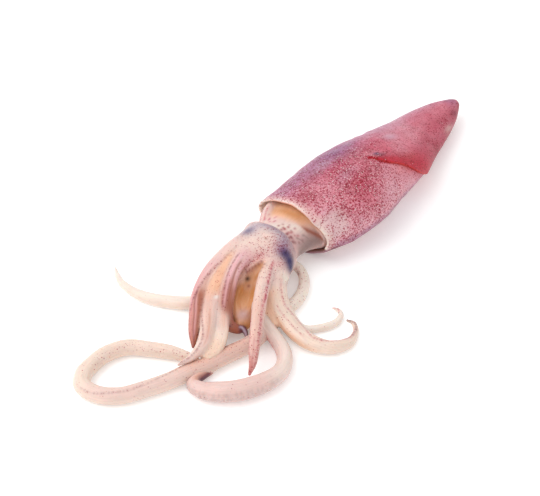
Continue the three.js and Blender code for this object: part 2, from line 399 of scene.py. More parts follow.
@dataclass
class Paint:
    """The colour under the skin and the density of its freckles, at each point of a surface.

    Straight is the same point in millimetres as if its limb lay straight, with its length along y.
    """

    colour: np.ndarray
    freckles: np.ndarray
    straight: np.ndarray

    @classmethod
    def plain(cls, straight: np.ndarray, tone: Tone) -> Paint:
        """One colour all over, without freckles."""
        return cls(np.tile(tone.linear, (len(straight), 1)), np.zeros(len(straight)), straight)

    def lay(self, tone: Tone, mask: np.ndarray) -> None:
        """Lays a colour over what is there, where the mask is above 0."""
        share = np.clip(mask, 0, 1)[:, None]
        self.colour = self.colour * (1 - share) + tone.linear * share

    def dot(self, mask: np.ndarray | float) -> None:
        """Adds freckles where the mask is above 0 and takes them away where it is below."""
        self.freckles = self.freckles + mask

    def zones(self, zones: tuple[Zone, ...], here: Place, within: np.ndarray | float = 1.0) -> None:
        """Lays zones one over the other.

        Args:
            zones: the zones, the lowest first.
            here: the places of the skin's points.
            within: the share of every zone that each point may have, from 0 to 1.
        """
        for zone in zones:
            mask = within * zone.mask(here)
            self.lay(zone.tone, zone.strength * mask)
            self.dot(zone.freckles * mask)

    def patch(self, patches: tuple[Patch, ...], points: np.ndarray) -> None:
        """Lays patches one over the other.

        Args:
            patches: the patches, the lowest first.
            points: the places of the skin's points.
        """
        for each in patches:
            mask = each.mask(points)
            self.lay(each.tone, each.strength * mask)
            self.dot(each.freckles * mask)


class FleshGrid:
    """Distances to a body's skin on a block of evenly spaced points, below 0 inside it."""

    def __init__(self, low: np.ndarray, high: np.ndarray, step: float) -> None:
        """Starts with nothing in the block.

        Args:
            low: its lowest corner.
            high: its highest corner.
            step: the distance between its points.
        """
        self.low = np.array(low, float)
        self.step = step
        self.counts = np.ceil((np.array(high) - self.low) / step).astype(int) + 1
        self.values = np.full(self.counts, FAR, np.float32)

    def window(self, low: np.ndarray, high: np.ndarray) -> tuple[slice, ...]:
        """A part of the block.

        Args:
            low: the part's lowest corner.
            high: its highest corner.

        Returns:
            The range of points along each of the three ways.
        """
        start = np.floor((low - self.low) / self.step).astype(int)
        stop = np.ceil((high - self.low) / self.step).astype(int) + 1
        return tuple(slice(max(a, 0), min(b, n)) for a, b, n in zip(start, stop, self.counts))

    def points(self, window: tuple[slice, ...]) -> np.ndarray:
        """The places of a window's points, one row each."""
        axes = [low + self.step * np.arange(part.start, part.stop) for low, part in zip(self.low, window)]
        return np.stack(np.meshgrid(*axes, indexing="ij"), axis=-1).reshape(-1, 3)

    def join(self, window: tuple[slice, ...], distance: np.ndarray, blend: np.ndarray | float) -> None:
        """Melts a body into what the window holds.

        Args:
            window: the part of the block that the body can reach.
            distance: the body's distance at each of its points.
            blend: the fillet's reach, one for all or one for each point.
        """
        held = self.values[window]
        if isinstance(blend, np.ndarray):
            blend = blend.reshape(held.shape)
        self.values[window] = melt(held, distance.reshape(held.shape), blend)

    def carve(self, window: tuple[slice, ...], distance: np.ndarray, blend: float) -> None:
        """Takes a body's room out of what the window holds."""
        held = self.values[window]
        self.values[window] = overlap(held, -distance.reshape(held.shape), blend)

    def rest_on_floor(self, blend: float) -> None:
        """Flattens what would lie below the plane of rest."""
        height = self.low[2] + self.step * np.arange(self.counts[2])
        self.values = overlap(self.values, np.broadcast_to(-height, self.values.shape), blend)

    def sample(self, points: np.ndarray) -> np.ndarray:
        """The distance between the block's points.

        Args:
            points: where it is wanted.

        Returns:
            The distance at each place.
        """
        place = np.clip((points - self.low) / self.step, 0, self.counts - BEFORE_END)
        corner = place.astype(int)
        part = place - corner
        value = np.zeros(len(points))
        for offset in product((0, 1), repeat=3):
            i, j, k = (corner + offset).T
            value += np.prod(np.where(offset, part, 1 - part), axis=1) * self.values[i, j, k]
        return value

    def slope(self, points: np.ndarray) -> np.ndarray:
        """How the distance grows.

        Args:
            points: where that is wanted.

        Returns:
            The way in which it grows at each place, as long as it is steep.
        """
        half = self.step / 2
        sides = [self.sample(points + move) - self.sample(points - move) for move in half * np.eye(3)]
        return np.stack(sides, axis=-1) / self.step

    def skin(self) -> tuple[np.ndarray, np.ndarray]:
        """The surface where the distance is 0.

        Returns:
            The points of the surface, and its four-sided faces as rows of point numbers.
        """
        inside = self.values < 0
        corners = list(product((0, 1), repeat=3))
        size = np.array(inside.shape) - 1
        filled = sum(inside[i:i + size[0], j:j + size[1], k:k + size[2]].astype(np.int8)
                     for i, j, k in corners)
        crossed = (filled > 0) & (filled < len(corners))
        number = np.full(crossed.shape, -1, np.int64)
        cells = np.argwhere(crossed)
        number[crossed] = np.arange(len(cells))
        total, hits = np.zeros((len(cells), 3)), np.zeros(len(cells))
        for axis, corner in product(range(3), corners):
            if corner[axis] == 1:
                continue
            first = cells + corner
            second = first + np.eye(3, dtype=int)[axis]
            a, b = self.values[tuple(first.T)], self.values[tuple(second.T)]
            hit = (a < 0) != (b < 0)
            place = first[hit].astype(float)
            place[:, axis] += a[hit] / (a[hit] - b[hit])
            total[hit] += place
            hits += hit
        return self.low + self.step * total / hits[:, None], self.faces(inside, number)

    @staticmethod
    def faces(inside: np.ndarray, number: np.ndarray) -> np.ndarray:
        """One face across every line of the grid that leaves or enters the body.

        Args:
            inside: which of the block's points lie in the body.
            number: the number of the surface point in each cell.

        Returns:
            The faces as rows of point numbers, in turn as seen from outside.
        """
        found = []
        for axis in range(3):
            u, v = np.eye(3, dtype=int)[(axis + 1) % 3], np.eye(3, dtype=int)[(axis + 2) % 3]
            change = inside != np.roll(inside, -1, axis)
            change[tuple(slice(-1, None) if i == axis else slice(None) for i in range(3))] = False
            lines = np.argwhere(change)
            ring = [number[tuple((lines - move).T)] for move in (0 * u, u, u + v, v)]
            ring = np.stack(ring, axis=-1)
            out = inside[tuple(lines.T)]
            found.append(np.where(out[:, None], ring, ring[:, ::-1]))
        return np.concatenate(found)

    def settled(self, passes: int) -> tuple[np.ndarray, np.ndarray]:
        """The skin with its points spread evenly over the surface.

        Args:
            passes: how often each point moves to the middle of its neighbours and back onto the skin.

        Returns:
            The points and faces of the skin.
        """
        points, quads = self.skin()
        starts, ends = quads.ravel(), np.roll(quads, -1, axis=1).ravel()
        number = np.bincount(starts, minlength=len(points))
        for _ in range(passes):
            middle = [np.bincount(starts, points[ends, axis], len(points)) for axis in range(3)]
            points = (points + np.stack(middle, axis=-1) / number[:, None]) / 2
            slope = self.slope(points)
            steep = np.maximum((slope * slope).sum(axis=1), LEAST_SLOPE**2)
            move = np.clip(self.sample(points) / steep, -self.step, self.step)
            points = points - move[:, None] * slope
        return points, quads


@dataclass(frozen=True)
class Around:
    """Places round a limb, as its own skin sees them.

    Share runs along the limb and turn round it in degrees. In millimetres follow the limb's radius there,
    the distance from its skin, and the place as if the limb lay straight.
    """

    share: np.ndarray
    turn: np.ndarray
    radius: np.ndarray
    distance: np.ndarray
    straight: np.ndarray


@dataclass(frozen=True)
class Limb:
    """A soft limb with an oval section, bent along a route of x, y, z, half width and half height.

    Face is the way that the limb's back looks. Face, tone, blend and freckles go from base to tip, the last
    three over a run, which is a pair of shares of the limb's length.
    """

    name: str
    route: Rows
    face: tuple[Triple, Triple] = (UP, UP)
    tone: tuple[Tone, Tone] = (Tone.BLUSH, Tone.BLUSH)
    blend: Pair = (5.0, 0.6)
    streaks: tuple[Streak, ...] = ()
    freckles: Pair = (0.32, 0.12)
    gap: float = 1.2
    margin: float = 7.0
    blend_run: Pair = (0.0, 0.55)
    tone_run: Pair = (0.25, 0.9)
    freckle_run: Pair = (0.05, 0.5)

    @cached_property
    def stations(self) -> np.ndarray:
        """The route at close steps.

        Returns:
            A row for each station, with the route's five values.
        """
        rows = np.array(self.route, float)
        length = np.linalg.norm(np.diff(rows[:, :3], axis=0), axis=1).sum()
        knots = np.array([2 * rows[0] - rows[1], *rows, 2 * rows[-1] - rows[-2]])
        place = np.linspace(0, len(rows) - 1, int(length / self.gap) + 2)
        i = np.minimum(place.astype(int), len(rows) - 2)
        t = (place - i)[:, None]
        before, start, end, after = (knots[i + k] for k in range(4))
        lean_in, lean_out = (end - before) / 2, (after - start) / 2
        bend = (2 * t**3 - 3 * t**2 + 1) * start + (t**3 - 2 * t**2 + t) * lean_in
        return bend + (3 * t**2 - 2 * t**3) * end + (t**3 - t**2) * lean_out

    @cached_property
    def frames(self) -> tuple[np.ndarray, np.ndarray, np.ndarray, np.ndarray]:
        """How the limb lies at each station.

        Returns:
            The ways along it, out to its side and out of its back, and the stride to the next station.
        """
        along = np.gradient(self.stations[:, :3], axis=0)
        stride = np.linalg.norm(along, axis=1)
        along /= stride[:, None]
        share = np.linspace(0, 1, len(along))[:, None]
        base, tip = np.array(self.face, float)
        side = np.cross(along, base + (tip - base) * share)
        side /= np.linalg.norm(side, axis=1)[:, None]
        return along, side, np.cross(side, along), stride

    def box(self) -> tuple[np.ndarray, np.ndarray]:
        """The lowest and highest corners of the space where the limb's distances count."""
        places, sizes = self.stations[:, :3], self.stations[:, 3:].max(axis=1)[:, None] + self.margin
        return (places - sizes).min(axis=0), (places + sizes).max(axis=0)

    def nearest(self, points: np.ndarray) -> np.ndarray:
        """The stations that lie nearest.

        Args:
            points: places in millimetres.

        Returns:
            The number of the station nearest to each place.
        """
        places = self.stations[:, :3]
        found = np.empty(len(points), int)
        for start in range(0, len(points), CHUNK):
            part = points[start:start + CHUNK]
            gap = (places * places).sum(axis=1) - 2 * part @ places.T
            found[start:start + CHUNK] = gap.argmin(axis=1)
        return found

    def around(self, points: np.ndarray) -> Around:
        """Where points lie round the limb.

        Args:
            points: places in millimetres.

        Returns:
            Their share, turn and distance, with the radius and the straightened place.
        """
        along, side, back, stride = self.frames
        i = self.nearest(points)
        off = points - self.stations[i, :3]
        ahead = (off * along[i]).sum(axis=1)
        last = len(along) - 1
        place = np.clip(i + np.clip(ahead / stride[i], -1, 1), 0, last)
        share = place / last
        width = np.interp(place, np.arange(last + 1), self.stations[:, 3])
        height = np.interp(place, np.arange(last + 1), self.stations[:, 4])
        across, up = (off * side[i]).sum(axis=1), (off * back[i]).sum(axis=1)
        least = np.minimum(width, height)
        beyond = np.where(i == 0, -ahead, np.where(i == last, ahead, 0))
        beyond = np.maximum(beyond, 0) / least
        out = np.sqrt((across / width) ** 2 + (up / height) ** 2 + beyond**2)
        turn = np.degrees(np.arctan2(across / width, up / height))
        steep = np.sqrt((across / width**2) ** 2 + (up / height**2) ** 2 + (beyond / least) ** 2)
        scale = np.where(out > NEAR_AXIS, out / np.maximum(steep, TINY), least)
        distance = (out - 1) * scale
        radius = (width + height) / 2
        for streak in self.streaks:
            if streak.relief:
                distance -= streak.relief * streak.mask(share, turn, radius)
        length = stride.sum() * share
        return Around(share, turn, radius, distance, np.column_stack([across, length, up]))

    def join(self, grid: FleshGrid) -> None:
        """Melts the limb into a body of flesh, with less of a fillet towards its tip.

        Args:
            grid: the body.
        """
        window = grid.window(*self.box())
        here = self.around(grid.points(window))
        base, tip = self.blend
        grid.join(window, here.distance, base + (tip - base) * ease(*self.blend_run, here.share))

    def paint(self, here: Around) -> Paint:
        """The limb's own colours.

        Args:
            here: the places round it.

        Returns:
            The colours and freckles there.
        """
        base, tip = self.tone
        paint = Paint.plain(here.straight, base)
        paint.lay(tip, ease(*self.tone_run, here.share))
        many, few = self.freckles
        paint.dot(many + (few - many) * ease(*self.freckle_run, here.share))
        for streak in self.streaks:
            mask = streak.mask(here.share, here.turn, here.radius)
            paint.lay(streak.tone, streak.strength * mask)
            paint.dot(streak.freckles * mask)
        return paint


def paint_limbs(limbs: list[Limb], points: np.ndarray) -> Paint:
    """Mixes the limbs' colours, each where its own skin is nearest.

    Args:
        limbs: every limb of the body.
        points: the places of its skin's points.

    Returns:
        The colours and freckles of the skin.
    """
    total = np.full(len(points), LEAST_WEIGHT)
    heaviest = np.zeros(len(points))
    mixed = Paint(np.zeros((len(points), 3)), np.zeros(len(points)), points.copy())
    for limb in limbs:
        low, high = limb.box()
        near = np.flatnonzero(((points > low) & (points < high)).all(axis=1))
        here = limb.around(points[near])
        weight = np.exp(-np.maximum(here.distance, 0) / COLOUR_RUN)
        paint = limb.paint(here)
        mixed.colour[near] += paint.colour * weight[:, None]
        mixed.freckles[near] += paint.freckles * weight
        total[near] += weight
        leads = weight > heaviest[near]
        mixed.straight[near[leads]] = paint.straight[leads]
        heaviest[near[leads]] = weight[leads]
    return Paint(mixed.colour / total[:, None], mixed.freckles / total, mixed.straight)


def make_piece(name: str, points: np.ndarray, faces: np.ndarray, paint: Paint,
               material: bpy.types.Material) -> bpy.types.Object:
    """Makes one Blender object of a painted surface and rides it on the body of the squid.

    Args:
        name: the object's name.
        points: its points, in millimetres of the drawing.
        faces: its faces, as rows of point numbers.
        paint: the colour and freckles at each point.
        material: its finish.

    Returns:
        The new object.
    """
    mesh = bpy.data.meshes.new(name)
    mesh.from_pydata(((points - DRAWING_ORIGIN) * MM).tolist(), [], faces.tolist())
    mesh.polygons.foreach_set("use_smooth", np.ones(len(faces), bool))
    colour = mesh.color_attributes.new("undertone", "FLOAT_COLOR", "POINT")
    rgba = np.column_stack([paint.colour, np.ones(len(points))])
    colour.data.foreach_set("color", rgba.astype(np.float32).ravel())
    freckles = mesh.attributes.new("freckles", "FLOAT", "POINT")
    freckles.data.foreach_set("value", np.clip(paint.freckles, 0, 1).astype(np.float32))
    straight = mesh.attributes.new("straight", "FLOAT_VECTOR", "POINT")
    straight.data.foreach_set("vector", paint.straight.astype(np.float32).ravel())
    mesh.materials.append(material)
    mesh.validate()
    piece = bpy.data.objects.new(name, mesh)
    bpy.context.scene.collection.objects.link(piece)
    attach(piece, BODY)
    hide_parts(NODE)
    return piece


@dataclass
class Mantle:
    """The mantle: a tapering tube of muscle, open round the neck, with a fin on either side of its tail.

    Rows start with the place along the mantle. Dents are rows of an angle round it, a spread and a depth,
    waves of the lip of a height, a number round the rim and a start, and swells and clouds of height,
    wavelength and seed. Room, sideways and top bound the block of points round the mantle. A cover goes from
    the front of its run to the rear.
    """

    length: float = 210.0
    wall: float = 3.4
    lip_wall: float = 1.9
    lip_run: float = 9.0
    mouth_depth: float = 27.0
    lip_round: float = 0.9
    lip_waves: Rows = ((0.35, 3, 50), (0.175, 11, 0))
    half_width: Rows = ((0, 29.8), (25, 34.8), (50, 36), (80, 33.6), (110, 28.6), (140, 22.2), (170, 15.6),
                        (190, 10), (203, 5.6), (210, 2))
    half_height: Rows = ((0, 18.6), (25, 21.8), (50, 23.2), (80, 21.8), (110, 17.5), (140, 12.6), (170, 9.4),
                         (190, 7.2), (203, 5), (210, 2))
    drift: Rows = ((0, -1.8), (25, -6.6), (50, -7), (80, -5), (110, -5), (140, -1), (170, 2),
                   (190, 3), (210, 1.6))
    axis: Rows = ((0, 17.9), (25, 21.1), (50, 21.9), (80, 20.3), (110, 17), (140, 13.4), (170, 11.6),
                  (190, 11), (210, 11))
    dents: Rows = ((-41, 29, 0.14), (-136, 16, 0.05), (74, 30, -0.1))
    dent_reach: float = 16.0
    least_radius: float = 0.4
    fin_front: float = 68.0
    fin_rear: float = 206.0
    fin_setback: float = 11.0
    fin_root: float = 9.0
    fin_thickness: Pair = (2.8, 1.6)
    fin_sink: float = 2.0
    fin_lift: float = 1.1
    fin_lift_reach: float = 5.0
    fin_lift_run: Pair = (140.0, 100.0)
    fin_half_width: Rows = ((68, 35), (80, 34), (110, 29.2), (140, 23.6), (170, 18), (190, 12.2), (200, 7.4),
                            (206, 4.4))
    fin_margin: Rows = ((68, 12), (77, 32), (85, 43), (92, 56), (101, 78), (112, 98), (123, 116), (133, 130),
                        (152, 138), (175, 138), (192, 124), (206, 70))
    fin_fade: float = 3.2
    fin_fade_edge: Pair = (-12.0, -1.0)
    fin_fade_run: Pair = (150.0, 128.0)
    fin_rounds: Pair = (1.4, 1.0)
    fin_blend: Pair = (0.5, 3.0)
    lip_corner: Triple = (-97.0, 7.0, 3.8)
    hollow_round: float = 8.0
    tail_round: float = 2.5
    swells: Rows = ((0.5, 17, 3), (0.22, 6.5, 4))
    room: float = 5.0
    sideways: Pair = (-7.4, 3.0)
    top: float = 50.0
    grid_step: float = 0.77
    cloud: tuple[float, int] = (14.0, 11)
    freckle_cover: Pair = (0.95, 0.55)
    freckle_run: Pair = (50.0, 110.0)
    freckle_clouds: Rows = ((0.16, 14, 11), (0.1, 5, 12))
    blood_cover: float = 0.42
    blood_clouds: Rows = ((0.3, 22, 13), (0.2, 6, 14))
    mauve_turn: Pair = (-5.0, 45.0)
    mauve_cover: Pair = (0.7, 0.35)
    mauve_run: Pair = (110.0, 160.0)
    front_zone: Zone = Zone(Tone.PETAL, 0.5, along=((46, 14),))
    zones: tuple[Zone, ...] = (
        Zone(Tone.PETAL, 0.7, along=((112, 84),), across=((-48, -92),)),
        Zone(Tone.LILAC, 0.6, along=((70, 95),), across=((30, 75),)),
        # Violet low on the near flank is painted shade where the skin turns under toward the table
        Zone(Tone.VIOLET, 0.6, along=((124, 90),), across=((-84, -102),)),
        Zone(Tone.BLUSH, 0.8, across=((115, 150),), freckles=-0.35),
        Zone(Tone.BLUSH, 0.8, across=((-115, -150),), freckles=-0.35),
        Zone(Tone.PEARL, 0.64, along=((21, 11),), across=((-27, -45), (-90, -72)), freckles=-0.26, ragged=5),
        Zone(Tone.BLUSH, 0.6, along=((7, 1),), freckles=-0.15, ragged=1.5),
        # Wine low at the front of the near flank is painted shade where the lip turns under toward the table
        Zone(Tone.WINE, 0.6, along=((16, 4),), across=((-100, -112),)),
    )
    # Painted shade under the lip's near corner, where it turns under toward the table
    corner_painted_shade: tuple[Zone, ...] = (
        Zone(Tone.WINE, 0.6, along=((12, 3),), across=((-99, -106),)),
        Zone(Tone.VIOLET, 0.4, along=((12, 3), (1.5, 0)), across=((-99, -106),)),
    )
    fin_skin: Pair = (1.0, 0.2)
    fin_start: Pair = (0.04, 0.3)
    fin_cover: Pair = (0.85, 0.15)
    fin_zone: Zone = Zone(Tone.CARMINE, 1.0, across=((0.2, 0.7),))
    # Deeper reds towards the front margin: partly the fin's own red, partly painted shade of the curled edge
    fin_zones: tuple[Zone, ...] = (
        Zone(Tone.RUBY, 0.5, along=((140, 116),), across=((0.3, 0.7),)),
        Zone(Tone.BRICK, 0.4, along=((126, 106),), across=((0.5, 0.86),)),
        Zone(Tone.RUBY, 0.45, along=((126, 106),), across=((0.5, 0.86),)),
        Zone(Tone.SCARLET, 0.4, along=((126, 106),), across=((0.5, 0.86), (0.9, 0.98))),
    )
    wall_start: Pair = (-0.7, -1.6)
    wall_fade: float = 6.0
    wall_zones: tuple[Zone, ...] = (
        Zone(Tone.CREAM, 1.0, freckles=-1.0),
        Zone(Tone.BLUSH, 0.4, across=((20, 60),)),
        # Apricot and tan on the near, upper part of the wall are painted shade under the upper lip
        Zone(Tone.APRICOT, 0.44, across=((60, 0),)),
        Zone(Tone.TAN, 0.34, across=((22, -12),)),
    )
    rim_zones: tuple[Zone, ...] = (
        # The ivory rim is the lip's own pale edge with a painted highlight along it
        Zone(Tone.IVORY, 0.7, along=((3.2, 0.8),), depth=((0.4, -0.4),), freckles=-0.4),
        Zone(Tone.CORAL, 0.65, along=((3.2, 0.8),), across=((-74, -60), (70, 30)),
             depth=((0.4, -0.4), (-0.3, -0.9), (-2.8, -1.8))),
    )
    patches: tuple[Patch, ...] = (
        Patch(Tone.GRAPE, 0.9, (58, 11, 41), (20, 12, 9), -0.1),
        Patch(Tone.GRAPE, 0.6, (68, 26, 30), (22, 7, 12)),
        Patch(Tone.CARMINE, 0.35, (28, 4, 42), (16, 6, 6)),
        Patch(Tone.VIOLET, 0.35, (26, 14, 37), (16, 9, 8)),
        Patch(Tone.LILAC, 0.45, (41, 7, 42.8), (11, 5, 5)),
        # Painted highlight along the ridge of the back
        Patch(Tone.LILAC, 0.34, (43, -13, 44), (13, 5, 5)),
        Patch(Tone.GRAPE, 0.55, (77, 12, 39.5), (10, 5, 6)),
        Patch(Tone.CARMINE, 0.25, (64, -4, 43), (16, 6, 5)),
        Patch(Tone.CARMINE, 0.55, (10, -3.4, 39), (6, 7, 5), 0.2),
        Patch(Tone.CARMINE, 0.2, (38, -23, 41), (15, 7, 8), 0.2),
        Patch(Tone.CARMINE, 0.22, (54, -22, 41), (13, 7, 8), 0.1),
        Patch(Tone.CARMINE, 0.3, (19, -28, 34), (7, 5, 6), 0.2),
        Patch(Tone.PETAL, 0.55, (80, -28, 35), (20, 9, 9), -0.1),
        # Plum and indigo: painted shadow in the notch where the near fin's front edge meets the mantle
        Patch(Tone.PLUM, 0.85, (78, -17, 42), (4.5, 2, 3)),
        Patch(Tone.INDIGO, 0.8, (76.5, -13.8, 43), (2.6, 1.6, 3)),
        Patch(Tone.LILAC, 0.5, (107, -4, 36), (9, 4, 4), -0.3),
        Patch(Tone.CARMINE, 0.5, (166, -9, 19), (24, 6, 6)),
        Patch(Tone.CRIMSON, 0.9, (115, -28, 26), (17, 10, 12)),
        Patch(Tone.CRIMSON, 0.5, (115, -26, 27), (15, 9, 11)),
        Patch(Tone.PETAL, 0.72, (62, -37, 31), (15, 8, 10), -0.25),
        Patch(Tone.SCARLET, 0.55, (97, -29, 33), (15, 5, 8)),
        Patch(Tone.CARMINE, 0.4, (136, -20, 24), (14, 8, 8)),
        Patch(Tone.IVORY, 0.8, (171, -16, 14.2), (9, 2.2, 3.2), -0.6),
        Patch(Tone.CARMINE, 0.55, (187, -7, 17), (8, 4, 4)),
        Patch(Tone.PLUM, 0.5, (191, -8, 15), (7, 2.5, 3)),
        Patch(Tone.VIOLET, 0.7, (200, 3, 15.5), (7, 6, 5)),
    )
    rim_marks: tuple[Patch, ...] = (
        Patch(Tone.UMBER, 0.8, (0, 28.2, 21.6), (2.4, 2.6, 0.8)),
        Patch(Tone.RUSSET, 0.6, (0, 27.4, 25.4), (2.2, 2.4, 0.7)),
    )

    def oval(self, points: np.ndarray, inset: np.ndarray | float) -> tuple[np.ndarray, np.ndarray]:
        """The mantle's full oval round its axis.

        Args:
            points: places in millimetres.
            inset: how far inside the skin the oval lies.

        Returns:
            The distance from the oval, and the angle round it in degrees, 0 on the top of the back.
        """
        x = points[:, 0]
        width, height = smooth(self.half_width, x), smooth(self.half_height, x)
        across, up = points[:, 1] - smooth(self.drift, x), points[:, 2] - smooth(self.axis, x)
        angle = np.degrees(np.arctan2(across / width, up / height))
        full = np.ones(len(points))
        for middle, spread, depth in self.dents:
            full -= depth * np.exp(-((angle - middle) / spread) ** 2 - np.maximum(0, x) / self.dent_reach)
        width = np.maximum(full * width - inset, self.least_radius)
        height = np.maximum(full * height - inset, self.least_radius)
        out = np.hypot(across / width, up / height)
        steep = np.maximum(np.hypot(across / width**2, up / height**2), TINY)
        return (out - 1) * out / steep, angle

    def fin(self, points: np.ndarray, side: int) -> tuple[np.ndarray, np.ndarray]:
        """A fin that hangs over one side of the mantle.

        Args:
            points: places in millimetres.
            side: 1 for the far fin and -1 for the near one.

        Returns:
            The distance from the fin, and how far out of its root each point lies, from 0 to 1.
        """
        x = points[:, 0]
        setback = self.fin_setback if side > 0 else 0.0
        front = self.fin_front + setback
        lag = setback * (1 - np.clip((x - front) / (self.fin_rear - front), 0, 1))
        across, up = side * (points[:, 1] - smooth(self.drift, x)), points[:, 2] - smooth(self.axis, x)
        width = smooth(self.fin_half_width, x)
        height = np.where(up > 0, smooth(self.half_height, x), smooth(self.axis, x))
        angle = np.degrees(np.arctan2(across / width, up / height))
        margin = smooth(self.fin_margin, x - lag)
        reach = np.clip((angle - self.fin_root) / (margin - self.fin_root), 0, 1)
        radius = np.hypot(across, up)
        swing = np.radians(smooth(self.fin_margin, x - lag + 1) - smooth(self.fin_margin, x - lag - 1)) / 2
        edge = np.radians(angle - margin) * radius / np.hypot(1, swing * radius)
        out = np.hypot(across / width, up / height)
        steep = np.maximum(np.hypot(across / width**2, up / height**2), TINY)
        lift = self.fin_lift * np.exp(-np.maximum(-edge, 0) / self.fin_lift_reach)
        lift = lift * ease(*self.fin_lift_run, x)
        fade = self.fin_fade * ease(*self.fin_fade_edge, edge)
        sunk = fade * ease(*self.fin_fade_run, x) if side > 0 else 0
        above = (out - 1) * out / steep + self.fin_sink * (1 - reach) ** 4 - lift + sunk
        thick, thin = self.fin_thickness
        slab = np.abs(above) - (thick + (thin - thick) * reach) / 2
        root = np.radians(self.fin_root - angle) * radius
        ends = np.maximum(root, np.maximum(front - x, x - self.fin_rear))
        edge_round, end_round = self.fin_rounds
        return overlap(overlap(slab, edge, edge_round), ends, end_round), reach

    def body(self) -> FleshGrid:
        """The mantle with its hollow and its fins.

        Returns:
            Its field of distances.
        """
        reach = max(value for _, value in self.half_width) + self.room
        near, far = self.sideways
        low = np.array([-self.room, near - reach, UNDER_FLOOR])
        high = np.array([self.length + self.room, far + reach, self.top])
        grid = FleshGrid(low, high, self.grid_step)
        window = grid.window(low, high)
        points = grid.points(window)
        x = points[:, 0]
        skin, angle = self.oval(points, 0)
        skin = skin + ripples(points, self.swells)
        wall = self.lip_wall + (self.wall - self.lip_wall) * ease(0, self.lip_run, x)
        hollow, _ = self.oval(points, wall)
        hollow = overlap(hollow, x - self.mouth_depth, self.hollow_round)
        corner, spread, height = self.lip_corner
        wave = sum(size * np.sin(np.radians(count * angle + start)) for size, count, start in self.lip_waves)
        lip = wave - height * np.exp(-np.abs(angle - corner) / spread) - x
        skin = overlap(skin, x - self.length, self.tail_round)
        skin = overlap(overlap(skin, lip, self.lip_round), -hollow, self.lip_round)
        edge_blend, root_blend = self.fin_blend
        for side in (-1, 1):
            fin, reach = self.fin(points, side)
            soft = self.fin_fade * ease(*self.fin_fade_run, x) if side > 0 else 0
            skin = melt(skin, fin, edge_blend + root_blend * (1 - reach) ** 2 + soft)
        grid.join(window, skin, FIRST_BLEND)
        grid.rest_on_floor(FLOOR_ROUND)
        return grid

    def paint(self, points: np.ndarray) -> Paint:
        """The colours of the mantle, with painted shade under the lip, low on the near flank and in the near
        fin's notch, and painted highlights on the back and the rim.

        Args:
            points: the places of its skin's points.

        Returns:
            The colours and freckles of the skin, the fins, the rim and the wall.
        """
        paint = Paint.plain(points[:, (1, 0, 2)], Tone.ROSE)
        x = points[:, 0]
        depth, angle = self.oval(points, 0)
        cloud = ripple(points, *self.cloud)
        here = Place(x, angle, depth, cloud)
        front, rear = self.freckle_cover
        paint.dot(front + (rear - front) * ease(*self.freckle_run, x) + ripples(points, self.freckle_clouds))
        paint.lay(Tone.CRIMSON, self.blood_cover + ripples(points, self.blood_clouds))
        paint.zones((self.front_zone,), here)
        front, rear = self.mauve_cover
        mauve = front + (rear - front) * ease(*self.mauve_run, x)
        paint.lay(Tone.MAUVE, mauve * ease(*self.mauve_turn, angle))
        paint.zones(self.zones, here)
        paint.patch(self.patches, points)
        self.paint_near_fin(paint, points, cloud)
        wall = ease(*self.wall_start, depth) * ease(self.mouth_depth + self.wall_fade, self.mouth_depth, x)
        paint.zones(self.wall_zones, here, wall)
        paint.zones(self.rim_zones, here)
        paint.patch(self.rim_marks, points)
        paint.zones(self.corner_painted_shade, here)
        return paint

    def paint_near_fin(self, paint: Paint, points: np.ndarray, cloud: np.ndarray) -> None:
        """Reddens the near fin, most of all along its front edge, where the deeper red is partly the fin's
        own colour and partly painted shade of its curled margin.

        Args:
            paint: the mantle's colours.
            points: the places of its skin's points.
            cloud: soft chance numbers there, from -1 to 1.
        """
        distance, reach = self.fin(points, -1)
        here = Place(points[:, 0], reach, distance, cloud)
        on_fin = ease(*self.fin_skin, distance) * ease(*self.fin_start, reach)
        even, uneven = self.fin_cover
        paint.zones((self.fin_zone,), here, on_fin * (even + uneven * cloud))
        paint.zones(self.fin_zones, here, on_fin)

    def build(self, material: bpy.types.Material) -> bpy.types.Object:
        """Makes the mantle's piece."""
        points, quads = self.body().settled(SETTLE_PASSES)
        return make_piece("mantle", points, quads, self.paint(points), material)


